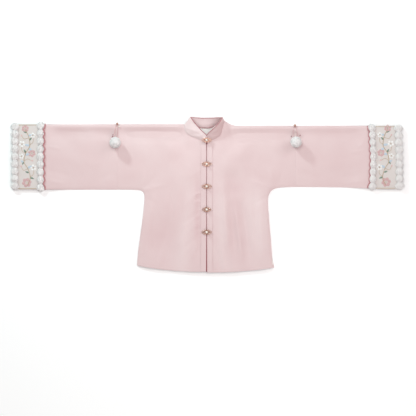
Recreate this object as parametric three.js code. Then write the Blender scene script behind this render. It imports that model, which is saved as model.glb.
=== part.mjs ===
// A stand-collar jacket with wide straight sleeves, laid flat with its front up.
//
// Millimetres. X runs along the sleeves, Y from the hem to the collar, and Z up from the surface
// that the jacket lies on. Left is -X and right is +X. Every panel is a closed wall between an
// upper and a lower grid of points, and what lies on a panel is made from the panel's own height.

import * as THREE from 'three';
import { mergeVertices } from 'three/addons/utils/BufferGeometryUtils.js';

const SEAM_GAP = 0.3;
const CLOTH = 1.5;
const LINING = 1.0;
const COLLAR_CLOTH = 2;
const LEFT = -1;
const RIGHT = 1;

// ---------------------------------------------------------------- the cut

// Each front and half of the back, one row for each section from the hem up to the shoulder fold.
// in: the front edge, then round the neck seam. out: the side seam, the underarm and the sleeve
// seam. mid: the same section's height on the back's centre line. X is measured from the centre.
const CUT_LEFT = [
  { inX: 2.6, inY: -299, outX: 270.5, outY: -275, mid: -297 },
  { inX: 2.3, inY: -262, outX: 268, outY: -240, mid: -262 },
  { inX: 2.0, inY: -222, outX: 264, outY: -204, mid: -222 },
  { inX: 1.8, inY: -180, outX: 258.5, outY: -167, mid: -180 },
  { inX: 1.6, inY: -136, outX: 253, outY: -128, mid: -136 },
  { inX: 1.4, inY: -92, outX: 248, outY: -90, mid: -92 },
  { inX: 1.3, inY: -50, outX: 244, outY: -52, mid: -50 },
  { inX: 1.2, inY: -12, outX: 241.5, outY: -22, mid: -12 },
  { inX: 1.2, inY: 20, outX: 241, outY: -3, mid: 20 },
  { inX: 1.2, inY: 50, outX: 245, outY: 11, mid: 50 },
  { inX: 1.2, inY: 80, outX: 254, outY: 19.5, mid: 80 },
  { inX: 1.2, inY: 108, outX: 270, outY: 22.4, mid: 108 },
  { inX: 1.2, inY: 140, outX: 300, outY: 22.8, mid: 140 },
  { inX: 1.2, inY: 174, outX: 346.85, outY: 22.8, mid: 170 },
  { inX: 2.5, inY: 203, outX: 346.85, outY: 58, mid: 190 },
  { inX: 13, inY: 209, outX: 346.85, outY: 92, mid: 205 },
  { inX: 28, inY: 216.5, outX: 346.85, outY: 124, mid: 217 },
  { inX: 46, inY: 223.5, outX: 346.85, outY: 156, mid: 228 },
  { inX: 64, inY: 230, outX: 346.85, outY: 188, mid: 238 },
  { inX: 79, inY: 239, outX: 346.85, outY: 218, mid: 247 },
  { inX: 86.5, inY: 254, outX: 346.85, outY: 247, mid: 255 },
  { inX: 89.5, inY: 272.5, outX: 346.85, outY: 274.5, mid: 262 },
];
const CUT_RIGHT = [
  { inX: 2.6, inY: -302, outX: 255.5, outY: -284, mid: -297 },
  { inX: 2.3, inY: -264, outX: 253, outY: -246, mid: -262 },
  { inX: 2.0, inY: -223, outX: 251, outY: -207, mid: -222 },
  { inX: 1.8, inY: -180, outX: 248, outY: -168, mid: -180 },
  { inX: 1.6, inY: -136, outX: 244.5, outY: -129, mid: -136 },
  { inX: 1.4, inY: -92, outX: 241, outY: -90, mid: -92 },
  { inX: 1.3, inY: -50, outX: 238, outY: -52, mid: -50 },
  { inX: 1.2, inY: -12, outX: 236.5, outY: -24, mid: -12 },
  { inX: 1.2, inY: 20, outX: 238, outY: -6, mid: 20 },
  { inX: 1.2, inY: 50, outX: 243.5, outY: 9, mid: 50 },
  { inX: 1.2, inY: 80, outX: 254, outY: 21, mid: 80 },
  { inX: 1.2, inY: 108, outX: 270, outY: 29, mid: 108 },
  { inX: 1.2, inY: 140, outX: 300, outY: 32.6, mid: 140 },
  { inX: 1.2, inY: 174, outX: 346.85, outY: 33, mid: 170 },
  { inX: 2.5, inY: 203, outX: 346.85, outY: 64, mid: 190 },
  { inX: 13, inY: 209.5, outX: 346.85, outY: 97, mid: 205 },
  { inX: 27, inY: 216.5, outX: 346.85, outY: 128, mid: 217 },
  { inX: 41, inY: 223, outX: 346.85, outY: 160, mid: 228 },
  { inX: 52, inY: 231, outX: 346.85, outY: 190, mid: 238 },
  { inX: 57, inY: 245, outX: 346.85, outY: 218, mid: 247 },
  { inX: 60.5, inY: 262, outX: 346.85, outY: 245, mid: 255 },
  { inX: 67, inY: 291, outX: 346.85, outY: 268, mid: 262 },
];
// The back's neck seam, from the centre out to each shoulder.
const BACK_NECK_LEFT = [{ x: 0, y: 262 }, { x: 34, y: 264.5 }, { x: 89.5, y: 272.5 }];
const BACK_NECK_RIGHT = [{ x: 0, y: 262 }, { x: 20, y: 264 }, { x: 40, y: 273 }, { x: 67, y: 291 }];

// How far the hem's curve drops below a straight line from the front edge to the side.
const HEM_DROP = { [LEFT]: 7, [RIGHT]: 4.5 };
// Where the shoulder fold bends: on the right the cloth climbs the collar's side to its corner.
const SHOULDER_BEND = { [LEFT]: null, [RIGHT]: { x: 93, y: 269 } };
// The side slits: how far the back's corner shows past the front's, from nought at the slit's top
// to peek at its foot. On the left it stays hidden.
const SLIT_TOP = -216;
const SLIT = { [LEFT]: { foot: -275, peek: -1.5 }, [RIGHT]: { foot: -283, peek: 9 } };
// The rows of a front's cut that make its side seam, and the rows that its band covers.
const SIDE_ROWS = 9;
const BAND_CUT_ROWS = 14;
// A side seam turns into the sleeve's underarm above this height.
const UNDERARM_FROM = -25;

// The sleeve ends, one row for each section from the sleeve seam out to the cuff band. lean turns
// a section's top in towards the body, and its bottom out.
const SLEEVE = {
  [LEFT]: [
    { x: 347.15, top: 274.5, bottom: 22.8, lean: 0 },
    { x: 410, top: 274.3, bottom: 22.7, lean: 0 },
    { x: 480, top: 274, bottom: 22.6, lean: 0 },
    { x: 545, top: 273.6, bottom: 22.5, lean: 0 },
    { x: 600, top: 273.8, bottom: 22.4, lean: 0 },
    { x: 628, top: 274, bottom: 22.3, lean: 0 },
    { x: 646.35, top: 274.2, bottom: 22.3, lean: 0 },
  ],
  [RIGHT]: [
    { x: 347.15, top: 268, bottom: 33, lean: 0 },
    { x: 410, top: 268, bottom: 32.6, lean: 0 },
    { x: 480, top: 268, bottom: 32.4, lean: 0 },
    { x: 545, top: 268, bottom: 31.4, lean: 1 },
    { x: 595, top: 268.2, bottom: 29, lean: 2.5 },
    { x: 625, top: 268.4, bottom: 27.2, lean: 3.5 },
    { x: 645.35, top: 268.6, bottom: 26, lean: 4 },
  ],
};
const CUFF = {
  [LEFT]: [
    { x: 646.65, top: 274.6, bottom: 22.2, lean: 0 },
    { x: 700, top: 275, bottom: 22, lean: 0 },
    { x: 748, top: 275.2, bottom: 22, lean: 0 },
  ],
  [RIGHT]: [
    { x: 645.65, top: 268.8, bottom: 24.6, lean: 4 },
    { x: 700, top: 268.8, bottom: 23.8, lean: 4.5 },
    { x: 750, top: 268.6, bottom: 23.4, lean: 5 },
  ],
};

// ---------------------------------------------------------------- heights

// The back of the body lies on the surface. Under each cuff the fur strips lift the sleeve.
const LIFT = 4.3;
const LIFT_FROM = 545;
const LIFT_TO = 622;
// Between the two layers: none but the seam gap on a sleeve, and the lining on the body.
const LINED_TO = 262;
const UNLINED_FROM = 325;
// The front layer rises from its edges by this much, over this distance, and its folds fade out
// over the next.
const PUFF = 4;
const PUFF_REACH = 30;
const FOLD_FADE = 40;

// The largest folds of the front layer, each a soft ridge, or a trough where rise is negative,
// from one end to the other.
const FOLDS = [
  { x0: -60, y0: -12, x1: -122, y1: -240, halfWidth: 28, rise: 3.4 },
  { x0: -205, y0: -50, x1: -180, y1: -245, halfWidth: 50, rise: -3.6 },
  { x0: -190, y0: 190, x1: -70, y1: 50, halfWidth: 62, rise: 3.2 },
  { x0: -330, y0: 238, x1: -110, y1: 236, halfWidth: 17, rise: -2.4 },
  { x0: 80, y0: 0, x1: 124, y1: -286, halfWidth: 15, rise: -3.6 },
  { x0: 128, y0: -30, x1: 174, y1: -280, halfWidth: 17, rise: -3.8 },
  { x0: 104, y0: -70, x1: 148, y1: -282, halfWidth: 13, rise: 2.4 },
  { x0: 205, y0: -20, x1: 218, y1: -268, halfWidth: 26, rise: 3.2 },
  { x0: 100, y0: 90, x1: 112, y1: -16, halfWidth: 34, rise: -3.0 },
  { x0: 120, y0: 232, x1: 330, y1: 234, halfWidth: 16, rise: -2.4 },
  { x0: 160, y0: 180, x1: 60, y1: 110, halfWidth: 46, rise: 2.4 },
  { x0: -560, y0: 214, x1: -380, y1: 120, halfWidth: 60, rise: 2.0 },
  { x0: 380, y0: 140, x1: 590, y1: 190, halfWidth: 56, rise: 1.8 },
  { x0: 420, y0: 70, x1: 600, y1: 84, halfWidth: 26, rise: -1.4 },
];
// A fold fades in and out at its ends, between these shares of its length.
const FADE_IN = [-0.15, 0.25];
const FADE_OUT = [1.15, 0.75];

function smoothStep(from, to, value) {
  const t = Math.min(Math.max((value - from) / (to - from), 0), 1);
  return t * t * (3 - 2 * t);
}

function mix(a, b, t) {
  return a + (b - a) * t;
}

// Reads a table: the value of one column where another column has the value given.
function lookUp(table, key, column, value) {
  const rising = table[0][key] < table.at(-1)[key];
  const rows = rising ? table : [...table].reverse();
  const next = rows.findIndex((row) => row[key] >= value);
  if (next <= 0) return next === 0 ? rows[0][column] : rows.at(-1)[column];
  const [a, b] = [rows[next - 1], rows[next]];
  return mix(a[column], b[column], (value - a[key]) / (b[key] - a[key]));
}

function cutOf(side) {
  return side === LEFT ? CUT_LEFT : CUT_RIGHT;
}

// The upper and lower edges of the sleeve at a distance from the centre line.
function sleeveEdges(side, distance) {
  const rows = [...SLEEVE[side], ...CUFF[side]];
  const bend = SHOULDER_BEND[side];
  const corner = cutOf(side).at(-1);
  if (distance > rows[0].x) {
    return { top: lookUp(rows, 'x', 'top', distance), bottom: lookUp(rows, 'x', 'bottom', distance) };
  }
  const climb = bend && distance < bend.x ? (bend.x - distance) / (bend.x - corner.inX) : 0;
  const under = cutOf(side).filter((row) => row.outY > UNDERARM_FROM && row.outY <= rows[0].bottom);
  return {
    top: bend && climb > 0 ? mix(bend.y, corner.inY, climb) : rows[0].top,
    bottom: lookUp(under, 'outX', 'outY', distance),
  };
}

// How far a point lies inside the outline of the folded edges.
function insideBy(x, y) {
  const side = x < 0 ? LEFT : RIGHT;
  const distance = Math.abs(x);
  const edges = sleeveEdges(side, distance);
  const sideSeam = lookUp(cutOf(side).slice(0, SIDE_ROWS), 'outY', 'outX', y);
  return Math.max(Math.min(edges.top - y, Math.max(sideSeam - distance, y - edges.bottom)), 0);
}

function foldAt(x, y) {
  let height = 0;
  for (const fold of FOLDS) {
    const along = new THREE.Vector2(fold.x1 - fold.x0, fold.y1 - fold.y0);
    const from = new THREE.Vector2(x - fold.x0, y - fold.y0);
    const t = from.dot(along) / along.lengthSq();
    const across = from.cross(along) / along.length();
    const taper = smoothStep(...FADE_IN, t) * smoothStep(...FADE_OUT, t);
    height += fold.rise * taper * Math.exp(-((across / fold.halfWidth) ** 2));
  }
  return height;
}

function liftAt(x) {
  return LIFT * smoothStep(LIFT_FROM, LIFT_TO, Math.abs(x));
}

// The underside of the front layer.
function frontUnder(x, y) {
  const distance = Math.abs(x);
  const lined = SEAM_GAP + LINING + SEAM_GAP;
  const layers = CLOTH + mix(lined, SEAM_GAP, smoothStep(LINED_TO, UNLINED_FROM, distance));
  const inside = insideBy(x, y);
  const puff = PUFF * (1 - Math.exp(-inside / PUFF_REACH));
  const settled = smoothStep(0, FOLD_FADE, inside) * (1 - smoothStep(LIFT_FROM, LIFT_TO, distance));
  return layers + liftAt(x) + puff + Math.max(foldAt(x, y) * settled, -puff);
}

function frontTop(x, y) {
  return frontUnder(x, y) + CLOTH;
}

// ---------------------------------------------------------------- solids

// A closed wall between two grids with the same rows and columns.
function wall(upper, lower) {
  const rows = upper.length;
  const columns = upper[0].length;
  const positions = [];
  const quad = (a, b, c, d) => positions.push(a, b, c, a, c, d);
  for (let i = 0; i + 1 < rows; i += 1) {
    for (let j = 0; j + 1 < columns; j += 1) {
      quad(upper[i][j], upper[i][j + 1], upper[i + 1][j + 1], upper[i + 1][j]);
      quad(lower[i][j], lower[i + 1][j], lower[i + 1][j + 1], lower[i][j + 1]);
    }
    quad(upper[i][0], upper[i + 1][0], lower[i + 1][0], lower[i][0]);
    quad(lower[i].at(-1), lower[i + 1].at(-1), upper[i + 1].at(-1), upper[i].at(-1));
  }
  for (let j = 0; j + 1 < columns; j += 1) {
    quad(upper[0][j + 1], upper[0][j], lower[0][j], lower[0][j + 1]);
    quad(upper[rows - 1][j], upper[rows - 1][j + 1], lower[rows - 1][j + 1], lower[rows - 1][j]);
  }
  return facingOut(new THREE.BufferGeometry().setFromPoints(positions));
}

// A ring of points for each section, closed by a fan at each end.
function loft(sections) {
  const positions = [];
  const count = sections[0].length;
  for (let i = 0; i + 1 < sections.length; i += 1) {
    for (let j = 0; j < count; j += 1) {
      const k = (j + 1) % count;
      const [a, b, c, d] = [sections[i][j], sections[i][k], sections[i + 1][k], sections[i + 1][j]];
      positions.push(a, b, c, a, c, d);
    }
  }
  for (let j = 1; j + 1 < count; j += 1) {
    positions.push(sections[0][0], sections[0][j + 1], sections[0][j]);
    positions.push(sections.at(-1)[0], sections.at(-1)[j], sections.at(-1)[j + 1]);
  }
  return facingOut(new THREE.BufferGeometry().setFromPoints(positions));
}

// Turns the triangles round where the solid would be inside out, as a mirrored one is.
function facingOut(loose) {
  const geometry = mergeVertices(loose, 1e-4);
  const points = geometry.attributes.position;
  const corners = geometry.index.array;
  const [a, b, c] = [new THREE.Vector3(), new THREE.Vector3(), new THREE.Vector3()];
  let volume = 0;
  for (let i = 0; i < corners.length; i += 3) {
    a.fromBufferAttribute(points, corners[i]);
    b.fromBufferAttribute(points, corners[i + 1]);
    c.fromBufferAttribute(points, corners[i + 2]);
    volume += a.dot(b.cross(c));
  }
  if (volume < 0) {
    for (let i = 0; i < corners.length; i += 3) {
      [corners[i], corners[i + 1]] = [corners[i + 1], corners[i]];
    }
  }
  geometry.computeVertexNormals();
  return geometry;
}

// The grid's points moved along the normals of its surface.
function movedOut(grid, distance) {
  const last = { i: grid.length - 1, j: grid[0].length - 1 };
  return grid.map((row, i) => row.map((point, j) => {
    const along = grid[Math.min(i + 1, last.i)][j].clone().sub(grid[Math.max(i - 1, 0)][j]);
    const across = row[Math.min(j + 1, last.j)].clone().sub(row[Math.max(j - 1, 0)]);
    const normal = across.cross(along).normalize();
    return point.clone().addScaledVector(normal, distance * Math.sign(normal.z || 1));
  }));
}

function raised(grid, height) {
  return grid.map((row) => row.map((point) => point.clone().setZ(height(point.x, point.y))));
}

const jacket = new THREE.Group();

function add(name, geometry, material) {
  const mesh = new THREE.Mesh(geometry, material);
  mesh.name = name;
  jacket.add(mesh);
  return mesh;
}

function sideName(side) {
  return side === LEFT ? 'left' : 'right';
}

// ---------------------------------------------------------------- materials

const satin = new THREE.MeshStandardMaterial({ color: 0xe4cbcb, roughness: 0.5 });
const pipingSatin = new THREE.MeshStandardMaterial({ color: 0xc98f94, roughness: 0.5 });
const whiteLining = new THREE.MeshStandardMaterial({ color: 0xefebe8, roughness: 0.6 });
const ivorySatin = new THREE.MeshStandardMaterial({ color: 0xe2dcd4, roughness: 0.5 });
const plush = new THREE.MeshStandardMaterial({ color: 0xefeceb, roughness: 0.95 });
const roseGold = new THREE.MeshStandardMaterial({ color: 0xbb8a78, roughness: 0.3, metalness: 1 });
const pearl = new THREE.MeshStandardMaterial({ color: 0xf1ece6, roughness: 0.2 });
const silkCord = new THREE.MeshStandardMaterial({ color: 0xd9a3a0, roughness: 0.6 });
const garnetGlass = new THREE.MeshStandardMaterial({ color: 0x8d4a4c, roughness: 0.15 });

// ---------------------------------------------------------------- body

// What lies on a front clears its height by this, because its facets cut across the folds.
const OVER_FACETS = 0.7;
const FRONT_COLUMNS = [0, 0.09, 0.19, 0.3, 0.41, 0.52, 0.63, 0.74, 0.84, 0.93, 1];
const BACK_COLUMNS = [0, 0.06, 0.12, 0.195, 0.3, 0.48, 0.72, 1];

// A quarter of the cut, with a straight section for each row of the table. The hem drops in a
// curve that fades out over the first rows, and the last row follows the top edge.
function cutGrid(side, rows, columns, top) {
  const last = rows.length - 1;
  return rows.map((row, i) => columns.map((u) => {
    const drop = HEM_DROP[side] * 4 * u * (1 - u) * (1 - i / last) ** 8;
    const x = mix(row.x0, row.x1, u);
    const y = mix(row.y0, row.y1, u) - drop;
    const onTop = i === last ? top(x) : y;
    return new THREE.Vector3(side * x, onTop, 0);
  }));
}

function frontGrid(side) {
  const rows = cutOf(side).map((row) => ({ x0: row.inX, y0: row.inY, x1: row.outX, y1: row.outY }));
  return cutGrid(side, rows, FRONT_COLUMNS, (x) => sleeveEdges(side, x).top);
}

function halfBackGrid(side) {
  const { foot, peek } = SLIT[side];
  const rows = cutOf(side).map((row) => ({
    x0: 0,
    y0: row.mid,
    x1: row.outX + peek * smoothStep(SLIT_TOP, foot, row.outY),
    y1: row.outY,
  }));
  const neck = side === LEFT ? BACK_NECK_LEFT : BACK_NECK_RIGHT;
  const shoulder = neck.at(-1).x;
  return cutGrid(side, rows, BACK_COLUMNS, (x) => (
    x < shoulder ? lookUp(neck, 'x', 'y', x) : sleeveEdges(side, x).top
  ));
}

for (const side of [LEFT, RIGHT]) {
  const grid = frontGrid(side);
  add(`body_front_${sideName(side)}`, wall(raised(grid, frontTop), raised(grid, frontUnder)), satin);
}

// The back's two halves meet on the centre line, in one piece.
const leftHalf = halfBackGrid(LEFT);
const rightHalf = halfBackGrid(RIGHT);
const backGrid = leftHalf.map((row, i) => [...row.slice(1).reverse(), ...rightHalf[i]]);
add('body_back', wall(raised(backGrid, () => CLOTH), raised(backGrid, () => 0)), satin);

// The lining of the back, which shows in the neck and in the right side slit.
const LINING_ROWS = [
  { left: -262, right: 259.5, y: -271 },
  { left: -260, right: 252, y: -222 },
  { left: -250, right: 242, y: -120 },
  { left: -236, right: 232, y: -10 },
  { left: -228, right: 226, y: 60 },
  { left: -200, right: 190, y: 180 },
  { left: -120, right: 110, y: 236 },
];
const LINING_NECK = [
  { x: -80, y: 268 },
  { x: -34, y: 263.5 },
  { x: 0, y: 261 },
  { x: 20, y: 263 },
  { x: 38, y: 271 },
  { x: 52, y: 279 },
];
const LINING_COLUMNS = 8;

function liningGrid() {
  const columns = [...Array(LINING_COLUMNS + 1).keys()].map((j) => j / LINING_COLUMNS);
  const rows = LINING_ROWS.map((row) => columns.map((u) => (
    new THREE.Vector3(mix(row.left, row.right, u), row.y, 0)
  )));
  const neck = columns.map((u) => {
    const x = mix(LINING_NECK[0].x, LINING_NECK.at(-1).x, u);
    return new THREE.Vector3(x, lookUp(LINING_NECK, 'x', 'y', x), 0);
  });
  return [...rows, neck];
}

const lining = liningGrid();
const liningUnder = CLOTH + SEAM_GAP;
const liningTop = liningUnder + LINING;
add('lining_back', wall(raised(lining, () => liningTop), raised(lining, () => liningUnder)), whiteLining);

// ---------------------------------------------------------------- sleeves and cuffs

const SLEEVE_ROWS = [0, 0.06, 0.2, 0.4, 0.6, 0.8, 0.94, 1];
const FLAT_ROWS = [0, 0.5, 1];

function tubeGrid(side, sections, rows) {
  return sections.map((section) => rows.map((v) => new THREE.Vector3(
    side * (section.x + section.lean * (1 - 2 * v)),
    mix(section.bottom, section.top, v),
    0,
  )));
}

function addTube(name, side, sections, material) {
  const front = tubeGrid(side, sections, SLEEVE_ROWS);
  const back = tubeGrid(side, sections, FLAT_ROWS);
  const backTop = (x) => liftAt(x) + CLOTH;
  add(`${name}_front_${sideName(side)}`, wall(raised(front, frontTop), raised(front, frontUnder)), material);
  add(`${name}_back_${sideName(side)}`, wall(raised(back, backTop), raised(back, liftAt)), material);
}

for (const side of [LEFT, RIGHT]) {
  addTube('sleeve', side, SLEEVE[side], satin);
  addTube('cuff', side, CUFF[side], ivorySatin);
}

// ---------------------------------------------------------------- fur strips

// Each strip goes round a cuff. x is its middle at the bottom, half way up and at the top.
const FUR_STRIPS = [
  { name: 'outer', side: LEFT, x: [747, 747, 746.5], bottom: 18.5, top: 282, halfWidth: 13.2 },
  { name: 'inner', side: LEFT, x: [647, 647, 647], bottom: 11.5, top: 286, halfWidth: 12.4 },
  { name: 'inner', side: RIGHT, x: [645, 649, 642.5], bottom: 17.5, top: 277, halfWidth: 12.4 },
  { name: 'outer', side: RIGHT, x: [752, 750, 746], bottom: 20, top: 274.5, halfWidth: 14.2 },
];
const LOBES = 9;
const ROWS_PER_LOBE = 4;
const FUR_ROWS = LOBES * ROWS_PER_LOBE;
const LOBE_DEPTH = 4;
const FUR_HEIGHT = 8;
const FUR_UNDER_CUFF = 4;
// The height of a valley between lobes, and what the rounded ends keep, as shares.
const VALLEY_HEIGHT = 0.82;
const END_HEIGHT = 0.5;
const END_WIDTH = 0.45;
const END_ROUNDNESS = 24;
// The last lobe at each end swells by this share.
const END_SWELL = 0.14;
// The step past a cuff's edge: the distances of its two rows, and how far other rows stay away.
const STEP_NEAR = 0.5;
const STEP_FAR = 1.2;
const STEP_CLEAR = 1.6;
// The strip's section above the cuff: a flat underside and a round top.
const FUR_SECTION = [
  { across: -1, up: 0 },
  { across: -0.92, up: 0.5 },
  { across: -0.45, up: 0.95 },
  { across: 0.45, up: 0.95 },
  { across: 0.92, up: 0.5 },
  { across: 1, up: 0 },
];
const FLAT_SECTION = [
  { across: -1, up: 0 },
  { across: -1, up: 1 },
  { across: 1, up: 1 },
  { across: 1, up: 0 },
];

// The rows of a strip: even steps along its lobes, and one more on each side of the cuff's edge,
// where the upper half steps down past it.
function furRows(strip) {
  const length = strip.top - strip.bottom;
  const edges = sleeveEdges(strip.side, strip.x[1]);
  const even = [...Array(FUR_ROWS + 1).keys()].map((i) => strip.bottom + (length * i) / FUR_ROWS);
  const below = [edges.bottom - STEP_FAR, edges.bottom - STEP_NEAR];
  const above = [edges.top + STEP_NEAR, edges.top + STEP_FAR];
  const steps = [...below, ...above];
  const clear = even.filter((y) => steps.every((step) => Math.abs(y - step) > STEP_CLEAR));
  const [foot, half, top] = strip.x;
  return [...clear, ...steps].sort((a, b) => a - b).map((y) => {
    const t = (y - strip.bottom) / length;
    const lobe = Math.abs(Math.sin(Math.PI * LOBES * t));
    const swell = Math.min(t, 1 - t) < 1 / LOBES ? 1 + END_SWELL * lobe : 1;
    const endRound = Math.sqrt(Math.max(1 - (2 * t - 1) ** END_ROUNDNESS, 0));
    const width = (strip.halfWidth - LOBE_DEPTH / 2 + LOBE_DEPTH * lobe) * swell;
    return {
      y,
      x: strip.side * (t < 0.5 ? mix(foot, half, t * 2) : mix(half, top, t * 2 - 1)),
      halfWidth: width * mix(END_WIDTH, 1, endRound),
      height: FUR_HEIGHT * mix(VALLEY_HEIGHT, 1, lobe) * mix(END_HEIGHT, 1, endRound),
      overCuff: y > below[1] - SEAM_GAP && y < above[0] + SEAM_GAP,
    };
  });
}

function furSection(row, shape, under, height) {
  return shape.map((corner) => (
    new THREE.Vector3(row.x + corner.across * row.halfWidth, row.y, under + corner.up * height)
  ));
}

for (const strip of FUR_STRIPS) {
  const rows = furRows(strip);
  const name = `fur_${strip.name}`;
  const restsAt = (row) => frontTop(strip.side * strip.x[1], row.y) + SEAM_GAP;
  const upper = rows.map((row) => {
    const under = row.overCuff ? restsAt(row) : FUR_UNDER_CUFF + SEAM_GAP;
    const top = restsAt(row) + row.height;
    return furSection(row, FUR_SECTION, under, top - under);
  });
  const lower = rows.map((row) => furSection(row, FLAT_SECTION, 0, FUR_UNDER_CUFF));
  add(`${name}_front_${sideName(strip.side)}`, loft(upper), plush);
  add(`${name}_back_${sideName(strip.side)}`, loft(lower), plush);
}

// ---------------------------------------------------------------- collar

// Sections of the stand collar, each from the neck seam to the top edge. The wings' seams lie on
// the fronts, and the back's lies on the surface. topZ is the underside of the top edge.
const WING_LEFT = [
  { seamX: -90, seamY: 271, topX: -65, topY: 299, topZ: 14 },
  { seamX: -87, seamY: 254, topX: -55, topY: 288, topZ: 17 },
  { seamX: -79.5, seamY: 238.6, topX: -44, topY: 275, topZ: 19 },
  { seamX: -64.4, seamY: 229.5, topX: -34, topY: 263.5, topZ: 19.5 },
  { seamX: -46.3, seamY: 223, topX: -23, topY: 250.5, topZ: 18.5 },
  { seamX: -28.3, seamY: 216, topX: -12, topY: 238, topZ: 16 },
  { seamX: -13.3, seamY: 208.6, topX: -8, topY: 231, topZ: 14 },
  { seamX: -2.3, seamY: 202.5, topX: -4.4, topY: 223, topZ: 12.5 },
];
const WING_RIGHT = [
  { seamX: 67.6, seamY: 289.6, topX: 64, topY: 299.6, topZ: 26 },
  { seamX: 61.2, seamY: 262, topX: 49, topY: 279, topZ: 32 },
  { seamX: 57.8, seamY: 245, topX: 36.5, topY: 265, topZ: 34 },
  { seamX: 52.6, seamY: 230.6, topX: 25, topY: 254, topZ: 32 },
  { seamX: 41.4, seamY: 222.4, topX: 14, topY: 243, topZ: 27 },
  { seamX: 27.3, seamY: 216, topX: 11.5, topY: 236.5, topZ: 20.5 },
  { seamX: 13.3, seamY: 208.8, topX: 8.5, topY: 229.5, topZ: 15.5 },
  { seamX: 2.3, seamY: 202.5, topX: 4.8, topY: 221.5, topZ: 13.5 },
];
const COLLAR_BACK = [
  { seamX: -88, seamY: 273.6, topX: -63.5, topY: 301, topZ: 8 },
  { seamX: -60, seamY: 269.4, topX: -42, topY: 299.5, topZ: 8 },
  { seamX: -34, seamY: 265.4, topX: -21, topY: 298, topZ: 8.5 },
  { seamX: 0, seamY: 262.9, topX: 0, topY: 297, topZ: 9.5 },
  { seamX: 19.5, seamY: 265.6, topX: 21, topY: 298, topZ: 11 },
  { seamX: 39.5, seamY: 275, topX: 42, topY: 299.5, topZ: 13 },
  { seamX: 59.5, seamY: 289, topX: 60.5, topY: 300.5, topZ: 16 },
];
const COLLAR_ROWS = [0, 0.25, 0.5, 0.75, 1];
const COLLAR_BOW = 2.2;
const PIPING_RADIUS = 1.2;
const PIPING_SIDES = 6;

// The collar bows up a little between its seam and its top edge.
function collarGrid(table, seamZ, bow) {
  return table.map((row) => COLLAR_ROWS.map((v) => new THREE.Vector3(
    mix(row.seamX, row.topX, v),
    mix(row.seamY, row.topY, v),
    mix(seamZ(row.seamX, row.seamY), row.topZ, v) + bow * Math.sin(Math.PI * v),
  )));
}

function directionAt(points, i) {
  return points[Math.min(i + 1, points.length - 1)].clone().sub(points[Math.max(i - 1, 0)]).normalize();
}

// The piping runs along the top edge, clear of it.
function pipingAlong(lower, upper) {
  const stand = PIPING_RADIUS + SEAM_GAP * 2;
  const edge = lower.map((row, i) => row.at(-1).clone().add(upper[i].at(-1)).multiplyScalar(0.5));
  const route = edge.map((point, i) => {
    const along = directionAt(edge, i);
    const outward = lower[i].at(-1).clone().sub(lower[i].at(-2));
    outward.addScaledVector(along, -outward.dot(along)).normalize();
    return point.clone().addScaledVector(outward, stand);
  });
  return route.map((point, i) => {
    const along = directionAt(route, i);
    const side = new THREE.Vector3(0, 0, 1).cross(along).normalize();
    const up = along.clone().cross(side);
    return [...Array(PIPING_SIDES).keys()].map((k) => {
      const angle = (2 * Math.PI * k) / PIPING_SIDES;
      return point.clone()
        .addScaledVector(side, PIPING_RADIUS * Math.cos(angle))
        .addScaledVector(up, PIPING_RADIUS * Math.sin(angle));
    });
  });
}

// Just above the fronts, with room for their flat facets.
function overFront(x, y) {
  return frontTop(x, y) + OVER_FACETS;
}

function addCollar(place, table, seamZ, bow) {
  const lower = collarGrid(table, seamZ, bow);
  const upper = movedOut(lower, COLLAR_CLOTH);
  add(`collar_${place}`, wall(upper, lower), satin);
  add(`collar_piping_${place}`, loft(pipingAlong(lower, upper)), pipingSatin);
}

addCollar('wing_left', WING_LEFT, overFront, COLLAR_BOW);
addCollar('wing_right', WING_RIGHT, overFront, COLLAR_BOW);
addCollar('back', COLLAR_BACK, () => 0, 0);

// ---------------------------------------------------------------- front bands

// The stitched facing band along each front edge, a second layer on the front.
const BAND_WIDTH = 21;
const BAND_CLOTH = 0.8;
const BAND_TOP = 199;
const BAND_ROWS = 16;
const BAND_COLUMNS = [0, 0.5, 1];

for (const side of [LEFT, RIGHT]) {
  const hem = cutOf(side)[0].inY + 0.6;
  const grid = [...Array(BAND_ROWS + 1).keys()].map((i) => {
    const y = mix(hem, BAND_TOP, i / BAND_ROWS);
    const edge = lookUp(cutOf(side).slice(0, BAND_CUT_ROWS), 'inY', 'inX', y) + 0.2;
    return BAND_COLUMNS.map((u) => new THREE.Vector3(side * (edge + BAND_WIDTH * u), y, 0));
  });
  const upper = raised(grid, (x, y) => overFront(x, y) + BAND_CLOTH);
  add(`front_band_${sideName(side)}`, wall(upper, raised(grid, overFront)), satin);
}

// ---------------------------------------------------------------- clasps

// Each clasp is a pair of pierced metal leaves that meet on the centre line. The left leaf ends
// in a round boss that carries the pearl, and the right leaf's eye goes round it.
const CLASPS = [
  { y: 213, length: 39, rests: 17 },
  { y: 120, length: 39 },
  { y: 33, length: 39 },
  { y: -57, length: 36 },
  { y: -145, length: 39 },
];
const CLASP_HEIGHT = 19;
const CLASP_METAL = 2.4;
const BOSS_RADIUS = 5.4;
const PEARL_RADIUS = 4.9;
const LEAF_MEET = 0.35;
const BOSS_CLEAR = 0.4;
const LOOP_RADIUS = 5.4;
const LOOP_NECK = 5;
const LOOP_HOLE = 2.8;
// How far towards the loop a leaf keeps its full height, and the frame round its oval eye.
const LEAF_FULLNESS = 0.9;
const EYE_FRAME = 1.2;
const EYE_HALF_HEIGHT = 3.2;
const CURVE_STEPS = 5;

function leafHole(cx, rx, ry) {
  const hole = new THREE.Path();
  hole.absellipse(cx, 0, rx, ry, 0, 2 * Math.PI, false);
  return hole;
}

// The points that stand clear of the one before, because arcs and lines share their ends.
function apart(points) {
  const clear = (a, b) => a.distanceTo(b) > 0.01;
  const kept = points.filter((point, i) => i === 0 || clear(point, points[i - 1]));
  return clear(kept[0], kept.at(-1)) ? kept : kept.slice(0, -1);
}

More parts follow.
